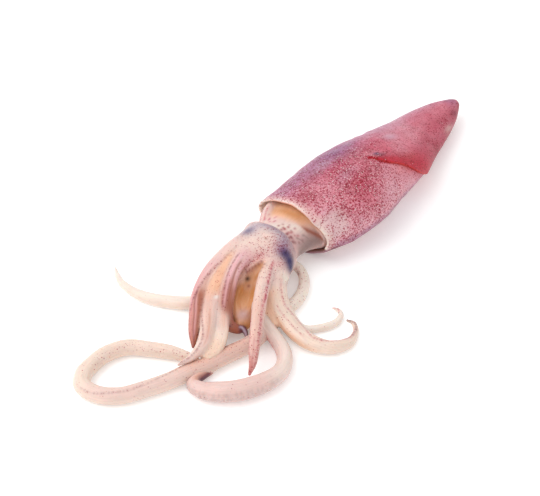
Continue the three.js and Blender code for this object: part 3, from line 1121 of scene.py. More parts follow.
HEAD = Limb(
    "head", margin=9.0, freckles=(0.62, 0.66), blend=(1.4, 4.0),
    route=((-19.5, -1.5, 17, 13, 10), (-22.5, -1.5, 17.3, 19, 14.8), (-28, -1.5, 17.5, 21.6, 17),
           (-37, -2.5, 17.5, 21.2, 15.7), (-48, -5, 17.5, 20, 13.5), (-58, -8, 16, 17, 10.5),
           (-67, -11, 13, 11, 7), (-74, -12, 11, 4, 3)),
    streaks=(
        Streak(Tone.SLATE, 0.5, ((0.0, -10), (0.18, -10)), 30, fade=0.16),
        Streak(Tone.CREAM, 0.6, ((0.36, 12), (0.6, 30)), 12, fade=0.15, freckles=-0.2),
    ))
NECK = Limb(
    "neck", margin=8.0, freckles=(0.04, 0.04),
    route=((-28, -1.5, 16, 16, 11.5), (-20, -1.4, 16, 17.4, 12.5), (-12, -1.2, 16, 18.2, 12.8),
           (-4, -0.8, 16.4, 21, 13), (4, -1.2, 16.8, 24.4, 14.6), (12, -3, 18, 26.6, 16.2),
           (22, -5, 19.4, 27.5, 16.5)),
    streaks=(
        Streak(Tone.ROSE, 0.25, ((0.06, 45), (0.8, 60)), 12, fade=0.1),
        # Apricot and ochre where the neck runs under the lip are painted shade
        Streak(Tone.APRICOT, 0.8, ((0.5, -30), (0.9, -30)), 22, fade=0.12),
        Streak(Tone.OCHRE, 0.85, ((0.56, 0), (0.62, 18), (0.9, 22)), 12, fade=0.1),
        Streak(Tone.IVORY, 0.7, ((0.2, -8), (0.34, 20), (0.42, 30)), 6, fade=0.08, relief=0.4),
        # Taupe on the neck's near underside is painted shade, and the umber line is the painted shadow of the
        # slit between neck and lip
        Streak(Tone.TAUPE, 0.95, ((0.26, 100), (0.4, 84), (0.6, 76)), 11, fade=0.12),
        Streak(Tone.UMBER, 0.9, ((0.5, 44), (0.56, 60), (0.7, 80)), 3.6, fade=0.05),
        Streak(Tone.TAUPE, 0.7, ((0.3, 50), (0.34, 66), (0.36, 90)), 1.0, fade=0.04, relief=-0.4),
        Streak(Tone.TAUPE, 0.6, ((0.4, 52), (0.43, 66), (0.45, 90)), 1.0, fade=0.04, relief=-0.4),
    ))
NECK_SIDE = Limb(
    "neck_side", freckles=(0.1, 0.1), blend=(4.0, 4.0),
    route=((-16, 11, 16, 3, 5), (-9, 15.5, 17, 5.5, 8.2), (-2, 19.4, 17.6, 5.4, 8.8), (4, 20.8, 18.6, 4.6, 9),
           (12, 20, 19.6, 4.4, 8.6)),
    streaks=(
        Streak(Tone.CARMINE, 0.8, ((0.2, -50), (0.5, -44)), 1.0, fade=0.06, dashes=26, freckles=0.2),
        Streak(Tone.CRIMSON, 0.7, ((0.15, -14), (0.55, -4)), 1.0, fade=0.06, dashes=19, freckles=0.3),
        Streak(Tone.CREAM, 0.5, ((0.6, -60), (1.0, -60)), 4, fade=0.1),
    ))
FAR_EYE = Limb(
    "far_eye",
    route=((-16, 11, 20, 3, 3), (-19, 11, 20, 7, 7.6), (-25, 11.4, 20, 9.4, 10), (-31, 11, 20, 7, 7.6),
           (-35, 11, 20, 3, 3)))
NEAR_EYE = Limb(
    "near_eye",
    route=((-20, -14, 14, 3, 3), (-23, -14.2, 14, 7.2, 7.8), (-29, -14.6, 14, 9.4, 10.4),
           (-35, -14.6, 14, 7.6, 8.2), (-39.5, -14.2, 14, 3, 3)))
MOUTH = Limb(
    "mouth", tone=(Tone.OCHRE, Tone.OCHRE), blend=(3.0, 3.0), freckles=(0.0, 0.0),
    route=((-56, -16, 11, 3, 3), (-63, -16, 11, 10, 8.4), (-71, -17.5, 11, 11, 9), (-77, -20.5, 10, 9.6, 7.6),
           (-82, -24.5, 8, 8.4, 6.6), (-86, -28, 6.6, 5.6, 4.6)))
FAR_WEB = Limb(
    "far_web", tone=(Tone.BLUSH, Tone.APRICOT), blend=(5.0, 3.0),
    route=((-44, 4, 20, 13, 8), (-56, 3, 20.5, 13.5, 7.5), (-68, 1, 18.3, 13, 6), (-80, -3, 15.5, 11, 4.5),
           (-90, -8, 13, 7, 3), (-97, -12, 11.2, 2.5, 1.6)),
    streaks=(
        Streak(Tone.APRICOT, 0.7, ((0.25, 0), (0.6, 0)), 14, fade=0.16),
        Streak(Tone.SALMON, 0.4, ((0.2, -8), (0.8, -8)), 1.0, fade=0.1, relief=-0.2),
        Streak(Tone.SALMON, 0.4, ((0.2, 30), (0.8, 30)), 1.0, fade=0.1, relief=-0.2),
    ))
NEAR_WEB = Limb(
    "near_web", tone=(Tone.BLUSH, Tone.CREAM), blend=(5.0, 2.5),
    route=((-36, -16, 18, 10, 8), (-48, -21, 18, 10, 7), (-59, -28, 15.5, 9, 6), (-67, -37, 11.5, 7.5, 4.4),
           (-74, -46, 8, 3, 2)),
    streaks=(Streak(Tone.APRICOT, 0.5, ((0.6, 10), (1.0, 10)), 8, fade=0.15),))
EYE_FLAP = Limb(
    "eye_flap", face=((-0.2, -0.9, 0.3), (-0.2, -0.9, 0.3)), tone=(Tone.BLUSH, Tone.IVORY), blend=(1.0, 0.5),
    route=((-38, -25, 21, 3.2, 2), (-43.5, -29.5, 20.6, 3.6, 1.5), (-48.5, -32.5, 19.4, 1.4, 0.9)),
    streaks=(Streak(Tone.WINE, 0.5, ((0.4, -85), (1.0, -85)), 1.2),))
OUTER_ARM = Limb(
    "outer_arm", face=((-0.3, 0.7, 0.7), (-0.6, 0.5, 0.6)), tone=(Tone.BLUSH, Tone.SALMON), blend=(5.0, 0.9),
    route=((-38, 9, 24, 7, 5.5), (-48, 11, 24, 6.4, 5.2), (-59, 11.5, 23, 5.8, 5), (-70, 11, 21, 5.5, 4.8),
           (-81, 9, 17.5, 5.5, 4.6), (-93, 4, 14, 5.8, 4.2), (-102.5, -3, 10.5, 5.6, 3.8),
           (-112, -10, 7.5, 4.4, 3), (-120, -16.5, 4.5, 1, 1)),
    streaks=(
        Streak(Tone.ROSE, 0.35, ((0.4, -10), (0.9, 0)), 3.4, fade=0.1),
        # Russet on the side that faces the next arm: partly its own red-brown, partly painted shade from the
        # web
        Streak(Tone.RUSSET, 0.85, ((0.62, -72), (0.8, -68), (0.98, -76)), 4.2, fade=0.08),
        Streak(Tone.UMBER, 0.6, ((0.66, -88), (0.9, -90)), 1.4, fade=0.06, freckles=0.3, dashes=36),
        Streak(Tone.UMBER, 0.4, ((0.6, -66), (0.96, -68)), 0.6, fade=0.06, relief=-0.2),
        Streak(Tone.PETAL, 0.4, ((0.66, -42), (0.9, -48)), 0.9, fade=0.06, relief=0.35),
        Streak(Tone.WINE, 0.5, ((0.6, -36), (0.7, -28), (0.87, -32), (1.0, -60)), 0.7, relief=-0.35,
               freckles=0.3),
        Streak(Tone.CRIMSON, 0.3, ((0.5, -10), (0.9, 0)), 0.6, relief=-0.25, fade=0.08),
        Streak(Tone.WINE, 0.6, ((0.12, -88), (0.33, -86), (0.46, -65), (0.54, -48), (0.65, -14), (0.76, 26),
                                (1.0, 24)), 0.9, relief=0.25, freckles=0.5, dashes=44),
        Streak(Tone.PETAL, 0.3, ((0.3, -62), (0.46, -38), (0.6, 0), (0.75, 60)), 2.6),
    ))
TURNED_ARM = Limb(
    "turned_arm", face=((-0.6, 0.3, 0.8), (-0.6, 0.3, 0.8)), tone=(Tone.BLUSH, Tone.CREAM), blend=(6.0, 3.6),
    route=((-44, 6, 20, 6, 5), (-60, 6, 20, 6, 4.4), (-77, 1, 18.5, 5, 4), (-90, -5, 16, 4.4, 3.8),
           (-101.5, -12.5, 14, 4.7, 3.6), (-110.5, -19, 12.3, 4.8, 3.4), (-120.5, -24.5, 12, 4.3, 3),
           (-132, -27, 11.8, 2.8, 2.2), (-142, -24.5, 11, 0.8, 0.8)),
    streaks=(
        Streak(Tone.APRICOT, 0.7, ((0.08, -45), (0.3, -45)), 9, fade=0.12),
        Streak(Tone.SALMON, 0.45, ((0.4, -20), (0.66, -50)), 3, fade=0.12),
        Streak(Tone.PINK, 0.3, ((0.72, -60), (1.0, -60)), 4, fade=0.12),
        Streak(Tone.TAN, 0.35, ((0.5, -50), (0.74, -60)), 0.8, fade=0.08, relief=-0.2),
        Streak(Tone.WINE, 0.6, ((0.44, 40), (0.6, 4), (0.7, -16), (0.84, -26), (1.0, -10)), 0.7,
               relief=0.2, freckles=0.4, dashes=34),
    ))
PALE_ARM = Limb(
    "pale_arm", face=((-0.7, 0, 0.7), (-0.6, 0, 0.8)), tone=(Tone.BLUSH, Tone.CREAM), blend=(6.0, 5.0),
    route=((-44, 0, 19, 6, 5), (-60, 1, 18, 6, 4.4), (-76, -5, 16.5, 5.4, 4), (-88, -12, 14, 5.2, 3.8),
           (-97, -19, 12, 5.8, 3.6), (-106, -26, 10.4, 6.2, 3.2), (-116, -31, 9.8, 6.2, 2.8),
           (-125, -32.5, 9.4, 3.6, 1.8)),
    streaks=(
        Streak(Tone.APRICOT, 0.7, ((0.08, -35), (0.3, -35)), 9, fade=0.12),
        Streak(Tone.SALMON, 0.5, ((0.4, -50), (0.62, -40)), 2.4, fade=0.12),
        Streak(Tone.APRICOT, 0.3, ((0.86, -20), (1.0, -20)), 6, fade=0.12),
        Streak(Tone.SALMON, 0.35, ((0.5, 50), (0.9, 50)), 1.2, fade=0.1, relief=-0.2),
        Streak(Tone.SLATE, 0.25, ((0.45, 14), (0.66, 10)), 1.4, relief=0.1),
    ))
RIDGED_ARM = Limb(
    "ridged_arm", face=((-0.4, 0.1, 0.9), (-0.95, 0.2, 0.2)), tone=(Tone.BLUSH, Tone.RUSSET),
    blend=(5.0, 0.8),
    route=((-38, -2, 23, 7, 5), (-46, -2, 26, 6.4, 5), (-57, -3.5, 27, 5.6, 4.6), (-71, -7.5, 25.5, 4.9, 4.2),
           (-82, -13, 20.5, 4.8, 3.9), (-90, -18, 14.5, 4.8, 3.7), (-94, -23, 9.6, 4.4, 3.4),
           (-93, -29, 7.6, 3.2, 2.8), (-90.5, -33, 7.4, 2.2, 2), (-92, -37, 4, 1, 1)),
    streaks=(
        Streak(Tone.ROSE, 0.35, ((0.2, -30), (0.44, -40)), 7, fade=0.1),
        Streak(Tone.RUSSET, 0.8, ((0.46, -45), (0.8, -45)), 8, fade=0.14),
        Streak(Tone.UMBER, 0.6, ((0.52, -64), (0.8, -64)), 2.6, fade=0.1),
        Streak(Tone.PETAL, 0.5, ((0.24, -8), (0.5, -16)), 1.4, relief=0.3, fade=0.08),
        Streak(Tone.PETAL, 0.5, ((0.22, -72), (0.44, -84)), 1.5, relief=0.3, fade=0.08),
        Streak(Tone.UMBER, 0.7, ((0.28, -38), (0.37, -47), (0.7, -46)), 0.8, relief=-0.5),
        Streak(Tone.UMBER, 0.6, ((0.44, -66), (0.72, -66)), 0.6, relief=-0.35),
        Streak(Tone.UMBER, 0.5, ((0.44, -84), (0.72, -84)), 0.6, relief=-0.3),
        Streak(Tone.UMBER, 0.5, ((0.4, -28), (0.7, -28)), 0.6, relief=-0.3, freckles=0.2),
        Streak(Tone.WINE, 0.6, ((0.24, 18), (0.48, 6), (0.6, -4), (0.7, -20)), 1.0, relief=0.2, freckles=0.5,
               dashes=40),
        Streak(Tone.WINE, 0.6, ((0.2, -96), (0.44, -108), (0.6, -104)), 0.9, fade=0.08, freckles=0.5,
               dashes=40),
        Streak(Tone.PLUM, 0.9, ((0.84, -60), (1.0, -60)), 9, fade=0.05),
        # Painted highlight on the curled tip
        Streak(Tone.LILAC, 0.75, ((0.85, -42), (1.0, -50)), 0.9, relief=0.35),
    ))
SLIM_ARM = Limb(
    "slim_arm", face=((-0.2, -0.4, 0.9), (-0.4, -0.5, 0.8)), blend=(4.0, 0.8),
    freckles=(0.4, 0.26),
    route=((-36, -14, 21, 6.5, 5), (-46, -18, 24, 5.6, 4.6), (-58, -23.5, 24.5, 4.8, 4),
           (-70, -30.5, 23, 4.6, 3.7), (-82.5, -38.5, 20.5, 4.4, 3.5), (-94.5, -46.5, 17, 4, 3.1),
           (-105, -53.5, 13, 3.4, 2.6), (-111, -57.5, 9, 2.5, 1.9), (-116, -59, 4.5, 0.9, 0.9)),
    streaks=(
        Streak(Tone.CREAM, 0.5, ((0.2, 40), (0.6, 40)), 3, fade=0.1),
        Streak(Tone.SALMON, 0.4, ((0.5, 10), (1.0, 10)), 6, fade=0.15, freckles=0.05),
        Streak(Tone.CRIMSON, 0.8, ((0.17, -12), (0.25, -30), (0.42, -36)), 1.0, relief=0.25, freckles=0.6,
               dashes=30),
        Streak(Tone.CRIMSON, 0.6, ((0.42, -34), (0.48, -20), (0.6, -28), (1.0, -34)), 1.0, relief=0.2,
               freckles=0.5, dashes=36),
        Streak(Tone.CRIMSON, 0.5, ((0.54, 84), (0.7, 70), (0.98, 40)), 0.8, relief=0.2, freckles=0.4,
               dashes=36),
        Streak(Tone.CRIMSON, 0.3, ((0.7, 14), (0.98, 8)), 0.6, relief=-0.3),
        Streak(Tone.BRICK, 0.3, ((0.84, 30), (0.98, 30)), 1.2, fade=0.05),
    ))
THICK_ARM = Limb(
    "thick_arm", face=((0.3, -0.7, 0.7), (0.3, -0.3, 0.9)), tone=(Tone.CREAM, Tone.CREAM), blend=(5.0, 1.0),
    route=((-34, -18, 20, 7, 6), (-44, -24, 19, 6.6, 5.6), (-52, -29, 15.5, 6.6, 5.4),
           (-60, -37.5, 11.5, 7.6, 5.4), (-65.5, -47.5, 8, 8, 5.4), (-69.5, -58.5, 6, 7.4, 5.4),
           (-71, -69.5, 5.4, 6.4, 5), (-68, -80, 4.8, 5, 4.4), (-62, -86, 4, 4.2, 3.8),
           (-53, -89, 3, 3.2, 2.8), (-43, -86, 2.4, 2, 1.9), (-38, -81, 3, 1.6, 1.5),
           (-40, -77, 5, 0.7, 0.7)),
    streaks=(
        Streak(Tone.APRICOT, 0.6, ((0.22, 104), (0.48, 100)), 2.4, fade=0.12),
        Streak(Tone.CRIMSON, 0.6, ((0.16, 21), (0.29, 14), (0.36, -12), (0.44, -20), (0.52, 10), (0.57, -3),
                                   (0.65, -42), (0.74, -60)), 0.8, relief=0.3, freckles=0.25, dashes=50),
        Streak(Tone.WINE, 0.75, ((0.74, -60), (0.88, -14), (1.0, 10)), 1.1, relief=0.3, freckles=0.2,
               dashes=60),
        Streak(Tone.CRIMSON, 0.45, ((0.3, 56), (0.38, 41), (0.46, 41)), 0.6, relief=0.15, freckles=0.4,
               dashes=50),
        Streak(Tone.PINK, 0.35, ((0.55, -70), (0.8, -80)), 2.4, fade=0.1),
    ))
THIN_ARM = Limb(
    "thin_arm", tone=(Tone.IVORY, Tone.IVORY),
    route=((-56, -22, 8, 4, 4), (-62, -36, 4, 3.4, 3.2), (-63, -50, 2.8, 3, 2.9), (-61, -60, 2.6, 2.8, 2.7),
           (-56, -65, 2.6, 2.7, 2.6), (-50, -69, 2.6, 2.7, 2.6), (-43, -71, 2.4, 2.5, 2.4),
           (-36, -69, 2, 1.9, 1.9), (-33, -65, 1.8, 1.4, 1.4), (-34, -61, 2.2, 0.6, 0.6)),
    streaks=(Streak(Tone.CRIMSON, 0.6, ((0.82, -60), (1.0, 40)), 0.9, relief=0.2, freckles=0.3, dashes=60),))
TRAILING_ARM = Limb(
    "trailing_arm", tone=(Tone.IVORY, Tone.IVORY), freckles=(0.05, 0.05),
    route=((-58, -4, 10, 5, 5), (-70, -3, 6.5, 5, 5), (-79, 3, 5, 4.8, 4.8), (-87, 9, 4.6, 4.6, 4.6),
           (-93, 15, 4.4, 4.6, 4.4), (-98, 23, 4.2, 4.5, 4.2), (-102, 31, 4, 4.2, 4),
           (-105, 41, 3.6, 3.8, 3.6), (-105.5, 52, 3, 3.1, 3), (-103.5, 63, 2.3, 2.4, 2.3),
           (-99, 72, 1.7, 1.7, 1.7), (-94.5, 78, 1.4, 0.6, 0.6)),
    streaks=(Streak(Tone.CREAM, 0.7, ((0.2, -80), (0.7, -80)), 4, fade=0.2),))
ARMS = (TURNED_ARM, PALE_ARM, OUTER_ARM, RIDGED_ARM, SLIM_ARM, THICK_ARM, THIN_ARM, TRAILING_ARM)

# The room between the two front arms, down to the mouth
MOUTH_HOLLOW = Limb(
    "mouth_hollow",
    route=((-50.5, -16.2, 30, 0.5, 1.5), (-54, -15.8, 28.5, 1.8, 3), (-59, -15.5, 26.5, 3.4, 4),
           (-65, -17, 24, 4.8, 5), (-72, -20.3, 21.5, 5.7, 5.5), (-79, -24, 18.5, 5.5, 5),
           (-85, -27.5, 16, 3.5, 3)))

LONG_TENTACLE = Limb(
    "long_tentacle", tone=(Tone.CREAM, Tone.CREAM), blend=(1.0, 1.0),
    route=((-34, -8, 12, 3.4, 3.4), (-24, -13, 9, 3.4, 3.2), (-20, -20, 6, 3.4, 3.2), (-23, -28, 4, 3.6, 3.4),
           (-32, -35, 3.8, 4, 3.8), (-42, -39, 4, 4.2, 4), (-52, -40, 4.2, 4.4, 4.2),
           (-64, -40, 4.4, 4.6, 4.4), (-77, -42, 4.6, 4.8, 4.6), (-88, -43, 5, 5, 5),
           (-99, -42, 5.2, 5.4, 5.2), (-109, -39, 5.2, 5.6, 5.2), (-119, -36, 5.2, 5.8, 5.2),
           (-128, -34, 5.2, 5.8, 5.2), (-137, -30, 5.2, 5.8, 5.2), (-152, -25, 5, 5.6, 5),
           (-167, -18, 5, 5.5, 5), (-179, -11, 5, 5.5, 5), (-187, 0, 5, 5.5, 5), (-188, 12, 5, 5.5, 5),
           (-181, 19, 5, 5.5, 5), (-173, 21, 5, 5.5, 5), (-160, 21, 5, 5.4, 5), (-147, 15, 5, 5.3, 5),
           (-139, 3, 4.8, 5, 4.8), (-133, -8, 4.6, 4.6, 4.6), (-129, -18, 4.2, 3.4, 3.4),
           (-126, -25, 4, 1.4, 1.4)),
    streaks=(
        # Paler base: painted light that lifts the shade under the head
        Streak(Tone.IVORY, 0.8, ((0.0, 0), (0.22, 0)), 14, fade=0.06),
        Streak(Tone.BLUSH, 0.75, ((0.3, -20), (0.66, -20)), 7, fade=0.05),
        Streak(Tone.SALMON, 0.6, ((0.4, 10), (0.5, 10)), 5, fade=0.06, freckles=0.12),
        Streak(Tone.WINE, 0.5, ((0.37, 20), (0.46, 30)), 0.7, freckles=0.2, dashes=90),
        Streak(Tone.WINE, 0.3, ((0.52, 34), (0.55, 18), (0.59, -8), (0.64, -16), (0.68, -42)), 0.8,
               relief=0.15, freckles=0.3, dashes=130),
        Streak(Tone.BLUSH, 0.2, ((0.8, 45), (0.97, 45)), 3.2, freckles=0.16),
        Streak(Tone.WINE, 0.5, ((0.095, 68), (0.105, 68)), 1.0, fade=0.01, freckles=0.6),
    ))
CLUB_TENTACLE = Limb(
    "club_tentacle", blend=(1.0, 1.0), freckles=(0.05, 0.1),
    route=((-62, -18, 14, 4.4, 4.4), (-74, -29, 11, 4.6, 4.4), (-79, -42, 7.4, 4.8, 4.6),
           (-82, -52, 5.2, 4.9, 4.7), (-87, -62, 4.8, 5, 4.8), (-94, -69, 5, 5.1, 4.9),
           (-104, -73, 5.4, 5.6, 5.3), (-116, -71.5, 6, 6.2, 6), (-126, -67.5, 6.4, 6.6, 6.4),
           (-134, -62, 6.4, 6.6, 6.4), (-140.5, -54.5, 6, 6.4, 6), (-144.5, -46.5, 5.2, 5.6, 5.2),
           (-145, -40, 5, 4.2, 4.8), (-140.5, -37, 4.6, 3, 4), (-134, -37.5, 3.8, 2.2, 3),
           (-128, -39, 2.6, 1, 1.4)),
    streaks=(
        Streak(Tone.IVORY, 0.6, ((0.1, 0), (0.4, -30)), 6, fade=0.1),
        Streak(Tone.CRIMSON, 0.5, ((0.08, 95), (0.32, 95)), 1.6, freckles=0.2, dashes=40),
        Streak(Tone.SALMON, 0.7, ((0.82, 20), (0.98, 20)), 3.0, fade=0.04),
        # Wine and plum inside the curled club: partly its own dark red, partly painted shade in the hollow of
        # the curl
        Streak(Tone.WINE, 0.9, ((0.77, 96), (0.82, 80), (0.97, 74)), 2.4, fade=0.03),
        Streak(Tone.PLUM, 0.9, ((0.79, 104), (0.84, 96), (0.95, 90)), 1.6, fade=0.03),
        Streak(Tone.TAUPE, 0.35, ((0.5, -95), (0.82, -95)), 1.6, fade=0.06, freckles=0.2),
        Streak(Tone.PEARL, 0.4, ((0.46, -88), (0.82, -88)), 1.7, fade=0.06, relief=1.0, dashes=34),
        Streak(Tone.TAUPE, 0.25, ((0.46, -64), (0.82, -64)), 1.6, fade=0.06, relief=0.5, dashes=37),
    ))


@dataclass
class HeadAndArms:
    """The head with its neck and eyes, the mouth, the webs and the eight arms, all of one skin."""

    core: tuple[Limb, ...] = (NECK, NECK_SIDE, HEAD, FAR_EYE, NEAR_EYE, MOUTH, FAR_WEB, NEAR_WEB)
    arms: tuple[Limb, ...] = (*ARMS, EYE_FLAP)
    hollow: Limb = MOUTH_HOLLOW
    hollow_round: float = 0.8
    grid_step: float = 0.68
    patches: tuple[Patch, ...] = (
        Patch(Tone.OCHRE, 0.95, (-61, -16, 22.5), (9, 5, 6), -0.8),
        Patch(Tone.OCHRE, 0.85, (-72, -20, 17), (8, 6, 7), -0.8),
        Patch(Tone.APRICOT, 0.75, (-79, -22, 14.5), (7, 6, 6), -0.8),
        Patch(Tone.OCHRE, 0.9, (-54.5, -16, 27), (4.5, 3.2, 3.5), -0.8),
        Patch(Tone.LILAC, 0.55, (-84, -27, 12), (5, 4.4, 4.4), -0.5),
        Patch(Tone.CRIMSON, 0.35, (-50, -11, 30), (6, 3.5, 3), 0.5),
        Patch(Tone.CRIMSON, 0.3, (-60, -9.5, 26.5), (5, 3, 3), 0.4),
        *row_of_marks(Tone.WINE, 0.8, (-51, -14.6, 29.6), (-62, -11.6, 26), 6),
        *row_of_marks(Tone.WINE, 0.6, (-52, -18.2, 28.6), (-58, -20, 26.4), 3),
        Patch(Tone.BLACK, 0.95, (-63.5, -13.6, 21.4), (1.9, 1.5, 1.7)),
        Patch(Tone.UMBER, 0.8, (-66, -16.5, 18.6), (1.2, 1.2, 1.4)),
        # Painted highlight on the fold between the pale arms
        Patch(Tone.WHITE, 1.0, (-88.2, -8.1, 18.6), (1.7, 1.2, 2), -0.5),
        Patch(Tone.SLATE, 0.75, (-34, 9.5, 31), (7, 7, 6), -0.2),
        Patch(Tone.INDIGO, 0.5, (-36, 9.5, 31.5), (4.4, 3.2, 3.4)),
        Patch(Tone.SLATE, 0.4, (-26, 2, 34), (5, 14, 5)),
        Patch(Tone.SLATE, 0.6, (-28, -14, 30), (5, 7, 4), 0.2),
        Patch(Tone.VIOLET, 0.85, (-33.5, -18.5, 28.5), (5.5, 6, 5), 0.3),
        Patch(Tone.INDIGO, 0.9, (-34, -21.5, 27.5), (5.2, 4.6, 4)),
        Patch(Tone.INDIGO, 1.0, (-35, -25.5, 24), (6, 5, 4.6)),
        Patch(Tone.INDIGO, 1.0, (-36.5, -28, 21), (5.4, 4.8, 4.6)),
        Patch(Tone.PINK, 0.5, (-43, -24, 25), (4, 4, 4), 0.4),
        Patch(Tone.UMBER, 0.7, (-35.5, -5.8, 33), (1, 1, 1.5)),
        *row_of_marks(Tone.CARMINE, 0.75, (-15.9, -1.5, 28.8), (-17, -8, 28.2), 5, 1.0, 1.2),
        *row_of_marks(Tone.WINE, 0.7, (-17.6, -10, 27.6), (-18.2, -17.5, 24), 8, 1.0, 1.0),
        *row_of_marks(Tone.CARMINE, 0.6, (-13, -3.4, 29), (-15.6, -12.4, 26.8), 8, 0.9, 1.6),
        *row_of_marks(Tone.CARMINE, 0.5, (-10.5, -7, 28.6), (-13.6, -15, 25.6), 7, 0.8, 1.8),
        *row_of_marks(Tone.WINE, 0.55, (-14.4, -18.4, 22.6), (-14.4, -21.4, 19), 5, 0.8, 1.5),
        *row_of_marks(Tone.WINE, 0.5, (-11, -18.8, 22.6), (-11.4, -21.4, 19), 4, 0.8, 1.5),
        *row_of_marks(Tone.CRIMSON, 0.7, (-13.5, 4.6, 28), (-11.6, 14, 24.6), 6, 0.9, 1.2),
        *row_of_marks(Tone.CRIMSON, 0.6, (-9.6, 7, 27.6), (-8.4, 15.6, 24), 5, 0.8, 1.5),
    )

    def body(self) -> FleshGrid:
        """All limbs melted into one body.

        Returns:
            Its field of distances.
        """
        limbs = (*self.core, *self.arms)
        corners = np.array([limb.box() for limb in limbs])
        low, high = corners[:, 0].min(axis=0), corners[:, 1].max(axis=0)
        low[2] = UNDER_FLOOR
        grid = FleshGrid(low, high, self.grid_step)
        for limb in limbs:
            limb.join(grid)
        window = grid.window(*self.hollow.box())
        grid.carve(window, self.hollow.around(grid.points(window)).distance, self.hollow_round)
        grid.rest_on_floor(FLOOR_ROUND)
        return grid

    def build(self, material: bpy.types.Material) -> bpy.types.Object:
        """Makes the piece of the head and the arms.

        Args:
            material: its finish.

        Returns:
            The new object.
        """
        points, quads = self.body().settled(SETTLE_PASSES)
        paint = paint_limbs([*self.core, *self.arms], points)
        paint.patch(self.patches, points)
        return make_piece("head_and_arms", points, quads, paint, material)


@dataclass
class Tentacle:
    """One of the two long tentacles, which lies on the floor in a loop."""

    limb: Limb
    grid_step: float = 0.62

    def build(self, material: bpy.types.Material) -> bpy.types.Object:
        """Makes the tentacle's piece.

        Args:
            material: its finish.

        Returns:
            The new object.
        """
        low, high = self.limb.box()
        low[2] = UNDER_FLOOR
        grid = FleshGrid(low, high, self.grid_step)
        self.limb.join(grid)
        grid.rest_on_floor(FLOOR_ROUND)
        points, quads = grid.settled(SETTLE_PASSES)
        return make_piece(self.limb.name, points, quads, paint_limbs([self.limb], points), material)


class NodeSheet:
    """Adds nodes to a shader or to a node group, and wires them up."""

    def __init__(self, tree: bpy.types.NodeTree) -> None:
        """Works on one node tree."""
        self.tree = tree

    def add(self, kind: str, inputs: dict | None = None, **settings: object) -> bpy.types.Node:
        """Adds one node.

        Args:
            kind: the node's type.
            inputs: a value or another node's output for each input, by name or by number.
            settings: the node's own settings.

        Returns:
            The new node.
        """
        node = self.tree.nodes.new(kind)
        for key, value in settings.items():
            setattr(node, key, value)
        for key, value in (inputs or {}).items():
            if isinstance(value, bpy.types.NodeSocket):
                self.tree.links.new(value, node.inputs[key])
            else:
                node.inputs[key].default_value = value
        return node

    def group(self, tree: bpy.types.NodeTree, inputs: dict) -> bpy.types.Node:
        """Adds a copy of a node group, with its own values."""
        return self.add("ShaderNodeGroup", inputs, node_tree=tree)

    def work(self, operation: str, first: bpy.types.NodeSocket | float,
             second: bpy.types.NodeSocket | float) -> bpy.types.NodeSocket:
        """The result of one sum with two numbers."""
        return self.add("ShaderNodeMath", {0: first, 1: second}, operation=operation).outputs[0]

    def ramp(self, value: bpy.types.NodeSocket, source: tuple = (0.0, 1.0), target: tuple = (0.0, 1.0),
             **settings: object) -> bpy.types.NodeSocket:
        """A number taken from one range to another.

        Args:
            value: the number.
            source: the ends of its range, as values or outputs.
            target: what they become.
            settings: the node's own settings.

        Returns:
            The new number.
        """
        inputs = {0: value, 1: source[0], 2: source[1], 3: target[0], 4: target[1]}
        return self.add("ShaderNodeMapRange", inputs, **settings).outputs[0]

    def mix(self, cover: bpy.types.NodeSocket, colour: bpy.types.NodeSocket, tone: Tone,
            blend: str = "MIX") -> bpy.types.NodeSocket:
        """A colour with a tone over it where the cover is above 0."""
        inputs = {"Factor": cover, 6: colour, 7: tone.rgba}
        return self.add("ShaderNodeMix", inputs, data_type="RGBA", blend_type=blend).outputs[2]


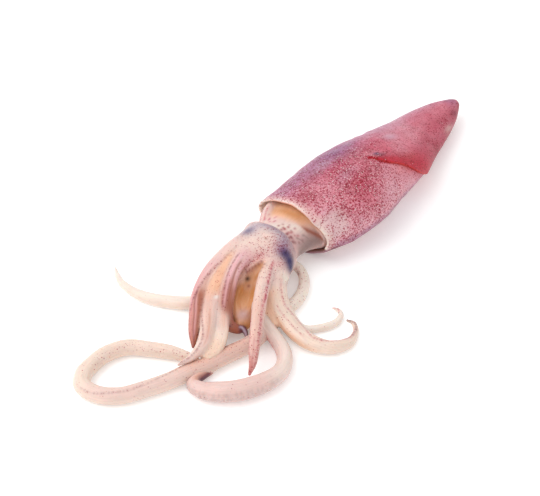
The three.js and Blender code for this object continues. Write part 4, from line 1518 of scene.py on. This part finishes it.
@dataclass(frozen=True)
class Effects:
    """The node groups that the finishes share."""

    spots: bpy.types.NodeTree
    mottle: bpy.types.NodeTree
    wet_grain: bpy.types.NodeTree
    fibres: bpy.types.NodeTree

    @staticmethod
    def new_group(name: str, inputs: dict[str, float], outputs: tuple[str, ...]
                  ) -> tuple[NodeSheet, bpy.types.NodeOutputs, bpy.types.NodeInputs]:
        """Starts a node group.

        Args:
            name: the group's name.
            inputs: its number sockets with their usual values.
            outputs: the names of the numbers that it puts out.

        Returns:
            A sheet to add nodes to, and by name what comes into the group and what goes out of it.
        """
        tree = bpy.data.node_groups.new(name, "ShaderNodeTree")
        for key, value in inputs.items():
            socket = tree.interface.new_socket(key, in_out="INPUT", socket_type="NodeSocketFloat")
            socket.default_value = value
        for key in outputs:
            tree.interface.new_socket(key, in_out="OUTPUT", socket_type="NodeSocketFloat")
        start, end = tree.nodes.new("NodeGroupInput"), tree.nodes.new("NodeGroupOutput")
        return NodeSheet(tree), start.outputs, end.inputs

    @staticmethod
    def spread(sheet: NodeSheet, spacing: bpy.types.NodeSocket) -> bpy.types.NodeSocket:
        """The place on the object, counted in steps.

        Args:
            sheet: the group's nodes.
            spacing: the length of a step in millimetres.

        Returns:
            The place as a vector.
        """
        place = sheet.add("ShaderNodeTexCoord").outputs["Object"]
        rate = sheet.work("DIVIDE", 1 / MM, spacing)
        return sheet.add("ShaderNodeVectorMath", {0: place, "Scale": rate}, operation="SCALE").outputs[0]

    @staticmethod
    def shade(sheet: NodeSheet, noise: bpy.types.NodeSocket,
              depth: bpy.types.NodeSocket) -> bpy.types.NodeSocket:
        """A shade round 1 that follows a noise.

        Args:
            sheet: the group's nodes.
            noise: a number from 0 to 1.
            depth: how far the shade strays from 1.

        Returns:
            The shade.
        """
        low = sheet.work("SUBTRACT", 1.0, depth)
        high = sheet.work("ADD", 1.0, depth)
        return sheet.ramp(noise, NOISE_RANGE, (low, high))

    @classmethod
    def build_spots(cls) -> bpy.types.NodeTree:
        """Pigment spots of uneven size, more of them with more density.

        Returns:
            The group, which puts out 1 inside a spot.
        """
        inputs = {"Spacing": 1.2, "Density": 0.5, "Size": 1.0}
        sheet, start, end = cls.new_group("Pigment spots", inputs, ("Mask",))
        place = cls.spread(sheet, start["Spacing"])
        cells = sheet.add("ShaderNodeTexVoronoi", {"Vector": place, "Scale": 1.0})
        chance = sheet.add("ShaderNodeSeparateColor", {0: cells.outputs["Color"]}).outputs
        size = sheet.ramp(chance[0], target=SPOT_RADII)
        growth = sheet.work("MULTIPLY", sheet.ramp(start["Density"], target=SPOT_GROWTH), start["Size"])
        radius = sheet.work("MULTIPLY", size, growth)
        edge = tuple(sheet.work("MULTIPLY", radius, part) for part in SPOT_EDGE)
        disc = sheet.ramp(cells.outputs["Distance"], edge, (1.0, 0.0), interpolation_type="SMOOTHSTEP")
        spare = sheet.work("SUBTRACT", start["Density"], chance[1])
        there = sheet.ramp(spare, (0.0, 0.1))
        sheet.tree.links.new(sheet.work("MULTIPLY", disc, there), end["Mask"])
        return sheet.tree

    @classmethod
    def build_mottle(cls) -> bpy.types.NodeTree:
        """Soft clouds of lighter and darker flesh.

        Returns:
            The group, which puts out a shade round 1.
        """
        sheet, start, end = cls.new_group("Flesh mottle", {"Spacing": 9.0, "Depth": 0.1}, ("Shade",))
        place = cls.spread(sheet, start["Spacing"])
        cloud = {"Vector": place, "Scale": 1.0, "Detail": 5.0, "Roughness": 0.62}
        noise = sheet.add("ShaderNodeTexNoise", cloud).outputs[0]
        sheet.tree.links.new(cls.shade(sheet, noise, start["Depth"]), end["Shade"])
        return sheet.tree

    @classmethod
    def build_wet_grain(cls) -> bpy.types.NodeTree:
        """The fine grain of wet skin, and where its film of water is thin.

        Returns:
            The group, which puts out a height and a dryness.
        """
        sheet, start, end = cls.new_group("Wet grain", {"Spacing": 1.0}, ("Height", "Dryness"))
        place = cls.spread(sheet, start["Spacing"])
        fine = sheet.add("ShaderNodeTexNoise", {"Vector": place, "Scale": 1.0, "Detail": 3.0}).outputs[0]
        pores = sheet.add("ShaderNodeTexVoronoi", {"Vector": place, "Scale": 0.8}, feature="SMOOTH_F1")
        height = sheet.work("ADD", fine, pores.outputs["Distance"])
        film = sheet.add("ShaderNodeTexNoise", {"Vector": place, "Scale": 0.12, "Detail": 4.0}).outputs[0]
        sheet.tree.links.new(height, end["Height"])
        sheet.tree.links.new(sheet.ramp(film, (0.35, 0.7)), end["Dryness"])
        return sheet.tree

    @classmethod
    def build_fibres(cls) -> bpy.types.NodeTree:
        """Muscle fibres that run along a limb.

        Returns:
            The group, which puts out a shade round 1 and a height round 0.
        """
        inputs = {"Width": 0.9, "Length": 14.0, "Depth": 0.1}
        sheet, start, end = cls.new_group("Flesh fibres", inputs, ("Shade", "Height"))
        place = sheet.add("ShaderNodeAttribute", attribute_name="straight").outputs["Vector"]
        across, along = (sheet.work("DIVIDE", 1.0, start[name]) for name in ("Width", "Length"))
        rate = sheet.add("ShaderNodeCombineXYZ", {0: across, 1: along, 2: across}).outputs[0]
        place = sheet.add("ShaderNodeVectorMath", {0: place, 1: rate}, operation="MULTIPLY").outputs[0]
        strand = sheet.add("ShaderNodeTexNoise", {"Vector": place, "Scale": 1.0, "Detail": 2.0}).outputs[0]
        sheet.tree.links.new(cls.shade(sheet, strand, start["Depth"]), end["Shade"])
        sheet.tree.links.new(sheet.work("SUBTRACT", strand, 0.5), end["Height"])
        return sheet.tree

    @classmethod
    def build(cls) -> Effects:
        """Makes every group once."""
        return cls(cls.build_spots(), cls.build_mottle(), cls.build_wet_grain(), cls.build_fibres())


@dataclass(frozen=True)
class FleshFinish:
    """Raw flesh under thin wet skin, with pigment spots in two sizes."""

    name: str
    spot_tone: Tone
    fine_spacing: float = 0.85
    fine_strength: float = 0.7
    coarse_spacing: float = 1.25
    coarse_strength: float = 0.8
    spot_size: float = 1.0
    fleck_density: float = 0.0
    fleck_spacing: float = 1.0
    fleck_strength: float = 0.3
    fleck_size: float = 0.9
    mottle_spacing: float = 9.0
    mottle_depth: float = 0.08
    fibre_width: float = 0.9
    fibre_depth: float = 0.08
    fibre_height: float = 0.25
    grain_spacing: float = 0.9
    grain_height: float = 0.12
    wet_roughness: float = 0.3
    dry_roughness: float = 0.5
    shine: float = 0.4
    coat: float = 0.2
    glow: float = 0.2
    glow_depth: float = 1.6
    glow_spread: Triple = (1.0, 0.45, 0.3)
    coat_roughness: float = 0.12
    bending: float = 1.4

    def material(self, effects: Effects) -> bpy.types.Material:
        """Makes the material.

        Args:
            effects: the shared node groups.

        Returns:
            The finished material.
        """
        material = bpy.data.materials.new(self.name)
        material.use_nodes = True
        material.node_tree.nodes.clear()
        sheet = NodeSheet(material.node_tree)
        colour = sheet.add("ShaderNodeAttribute", attribute_name="undertone").outputs["Color"]
        density = sheet.add("ShaderNodeAttribute", attribute_name="freckles").outputs["Fac"]
        shade = sheet.group(effects.mottle, {"Spacing": self.mottle_spacing, "Depth": self.mottle_depth})
        fibres = sheet.group(effects.fibres, {"Width": self.fibre_width, "Depth": self.fibre_depth})
        value = sheet.work("MULTIPLY", shade.outputs["Shade"], fibres.outputs["Shade"])
        colour = sheet.add("ShaderNodeHueSaturation", {"Color": colour, "Value": value}).outputs[0]
        layers = ((self.coarse_spacing, self.coarse_strength), (self.fine_spacing, self.fine_strength))
        for spacing, strength in layers:
            pattern = {"Spacing": spacing, "Density": density, "Size": self.spot_size}
            spots = sheet.group(effects.spots, pattern).outputs[0]
            colour = sheet.mix(sheet.work("MULTIPLY", spots, strength), colour, self.spot_tone, "MULTIPLY")
        if self.fleck_density:
            fewer = sheet.ramp(density, (0.5, 1.0), (0.0, self.fleck_density))
            pattern = {"Spacing": self.fleck_spacing, "Density": fewer, "Size": self.fleck_size}
            flecks = sheet.group(effects.spots, pattern).outputs[0]
            colour = sheet.mix(sheet.work("MULTIPLY", flecks, self.fleck_strength), colour, Tone.WHITE)
        grain = sheet.group(effects.wet_grain, {"Spacing": self.grain_spacing})
        rough = sheet.ramp(grain.outputs["Dryness"], target=(self.wet_roughness, self.dry_roughness))
        fine = sheet.add("ShaderNodeBump", {"Height": grain.outputs["Height"], "Strength": 1.0,
                                            "Distance": self.grain_height * MM})
        bump = sheet.add("ShaderNodeBump", {"Height": fibres.outputs["Height"], "Strength": 1.0,
                                            "Distance": self.fibre_height * MM, "Normal": fine.outputs[0]})
        shader = sheet.add("ShaderNodeBsdfPrincipled", {
            "Base Color": colour, "Roughness": rough, "Normal": bump.outputs[0], "IOR": self.bending,
            "Specular IOR Level": self.shine,
            "Subsurface Weight": self.glow, "Subsurface Scale": self.glow_depth * MM,
            "Subsurface Radius": self.glow_spread,
            "Coat Weight": self.coat, "Coat Roughness": self.coat_roughness,
        })
        sheet.add("ShaderNodeOutputMaterial", {"Surface": shader.outputs[0]})
        return material


@dataclass
class Studio:
    """The pale table, the soft light and the camera, in metres of the solids' frame."""

    aim: Triple = (-0.01878, 0.01798, 0.0)
    azimuth: float = -50.6
    elevation: float = 40.0
    distance: float = 0.870
    lens: float = 83.87
    table_size: float = 6.0
    world_strength: float = 0.9
    key_power: float = 8.0
    key_size: float = 1.2
    key_from: Triple = (-0.55, 0.55, 1.0)
    table_grey: float = 0.93
    table_roughness: float = 0.75
    table_glow: float = 0.2
    nearest_seen: float = 0.01

    def light(self) -> None:
        """A white sky and one wide lamp from the far left."""
        world = bpy.data.worlds.new("white_room")
        world.use_nodes = True
        sky = world.node_tree.nodes["Background"]
        sky.inputs["Color"].default_value = (1, 1, 1, 1)
        sky.inputs["Strength"].default_value = self.world_strength
        bpy.context.scene.world = world
        lamp = bpy.data.lights.new("key_light", "AREA")
        lamp.energy = self.key_power
        lamp.size = self.key_size
        holder = bpy.data.objects.new("key_light", lamp)
        holder.location = self.key_from
        holder.rotation_euler = (-Vector(self.key_from)).to_track_quat("-Z", "Y").to_euler()
        bpy.context.scene.collection.objects.link(holder)

    def table(self) -> None:
        """The plane that the squid lies on."""
        half = self.table_size / 2
        mesh = bpy.data.meshes.new("table")
        corners = [(-half, -half, 0), (half, -half, 0), (half, half, 0), (-half, half, 0)]
        mesh.from_pydata(corners, [], [(0, 1, 2, 3)])
        material = bpy.data.materials.new("pale_table")
        material.use_nodes = True
        shader = material.node_tree.nodes["Principled BSDF"]
        shader.inputs["Base Color"].default_value = (self.table_grey, self.table_grey, self.table_grey, 1)
        shader.inputs["Roughness"].default_value = self.table_roughness
        shader.inputs["Emission Color"].default_value = (1, 1, 1, 1)
        shader.inputs["Emission Strength"].default_value = self.table_glow
        mesh.materials.append(material)
        table = bpy.data.objects.new("table", mesh)
        bpy.context.scene.collection.objects.link(table)

    def camera(self) -> None:
        """A camera that looks along the photograph's line."""
        turn, tilt = math.radians(self.azimuth), math.radians(self.elevation)
        back = Vector((math.sin(turn) * math.cos(tilt), -math.cos(turn) * math.cos(tilt), math.sin(tilt)))
        right = Vector((math.cos(turn), math.sin(turn), 0))
        place = Vector(self.aim) + back * self.distance
        data = bpy.data.cameras.new("camera")
        data.lens = self.lens
        data.clip_start = self.nearest_seen
        holder = bpy.data.objects.new("camera", data)
        axes = Matrix((right, back.cross(right), back)).transposed()
        holder.matrix_world = Matrix.Translation(place) @ axes.to_4x4()
        bpy.context.scene.collection.objects.link(holder)
        bpy.context.scene.camera = holder


MANTLE_SKIN = FleshFinish("mantle_skin", Tone.MADDER, spot_size=1.12, coarse_spacing=1.4,
                          coarse_strength=0.86, fine_spacing=0.95, fleck_density=0.55, fleck_spacing=1.0735,
                          fleck_strength=0.6, fibre_depth=0.05, fibre_height=0.1, shine=0.22, coat=0.08)
ARM_SKIN = FleshFinish("arm_skin", Tone.MADDER, mottle_depth=0.04, fibre_depth=0.05, glow=0.25)


def main() -> None:
    """Builds the squid piece by piece round the loaded frame."""
    logging.basicConfig(level=logging.INFO, format="%(message)s")
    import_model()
    bpy.context.scene.view_settings.view_transform = "Standard"
    effects = Effects.build()
    mantle_skin, arm_skin = MANTLE_SKIN.material(effects), ARM_SKIN.material(effects)
    makers = ((Mantle(), mantle_skin), (HeadAndArms(), arm_skin), (Tentacle(LONG_TENTACLE), arm_skin),
              (Tentacle(CLUB_TENTACLE), arm_skin))
    for maker, skin in makers:
        piece = maker.build(skin)
        log.info("%s: %d faces", piece.name, len(piece.data.polygons))
    studio = Studio()
    studio.light()
    studio.table()
    studio.camera()


if __name__ == "__main__":
    main()
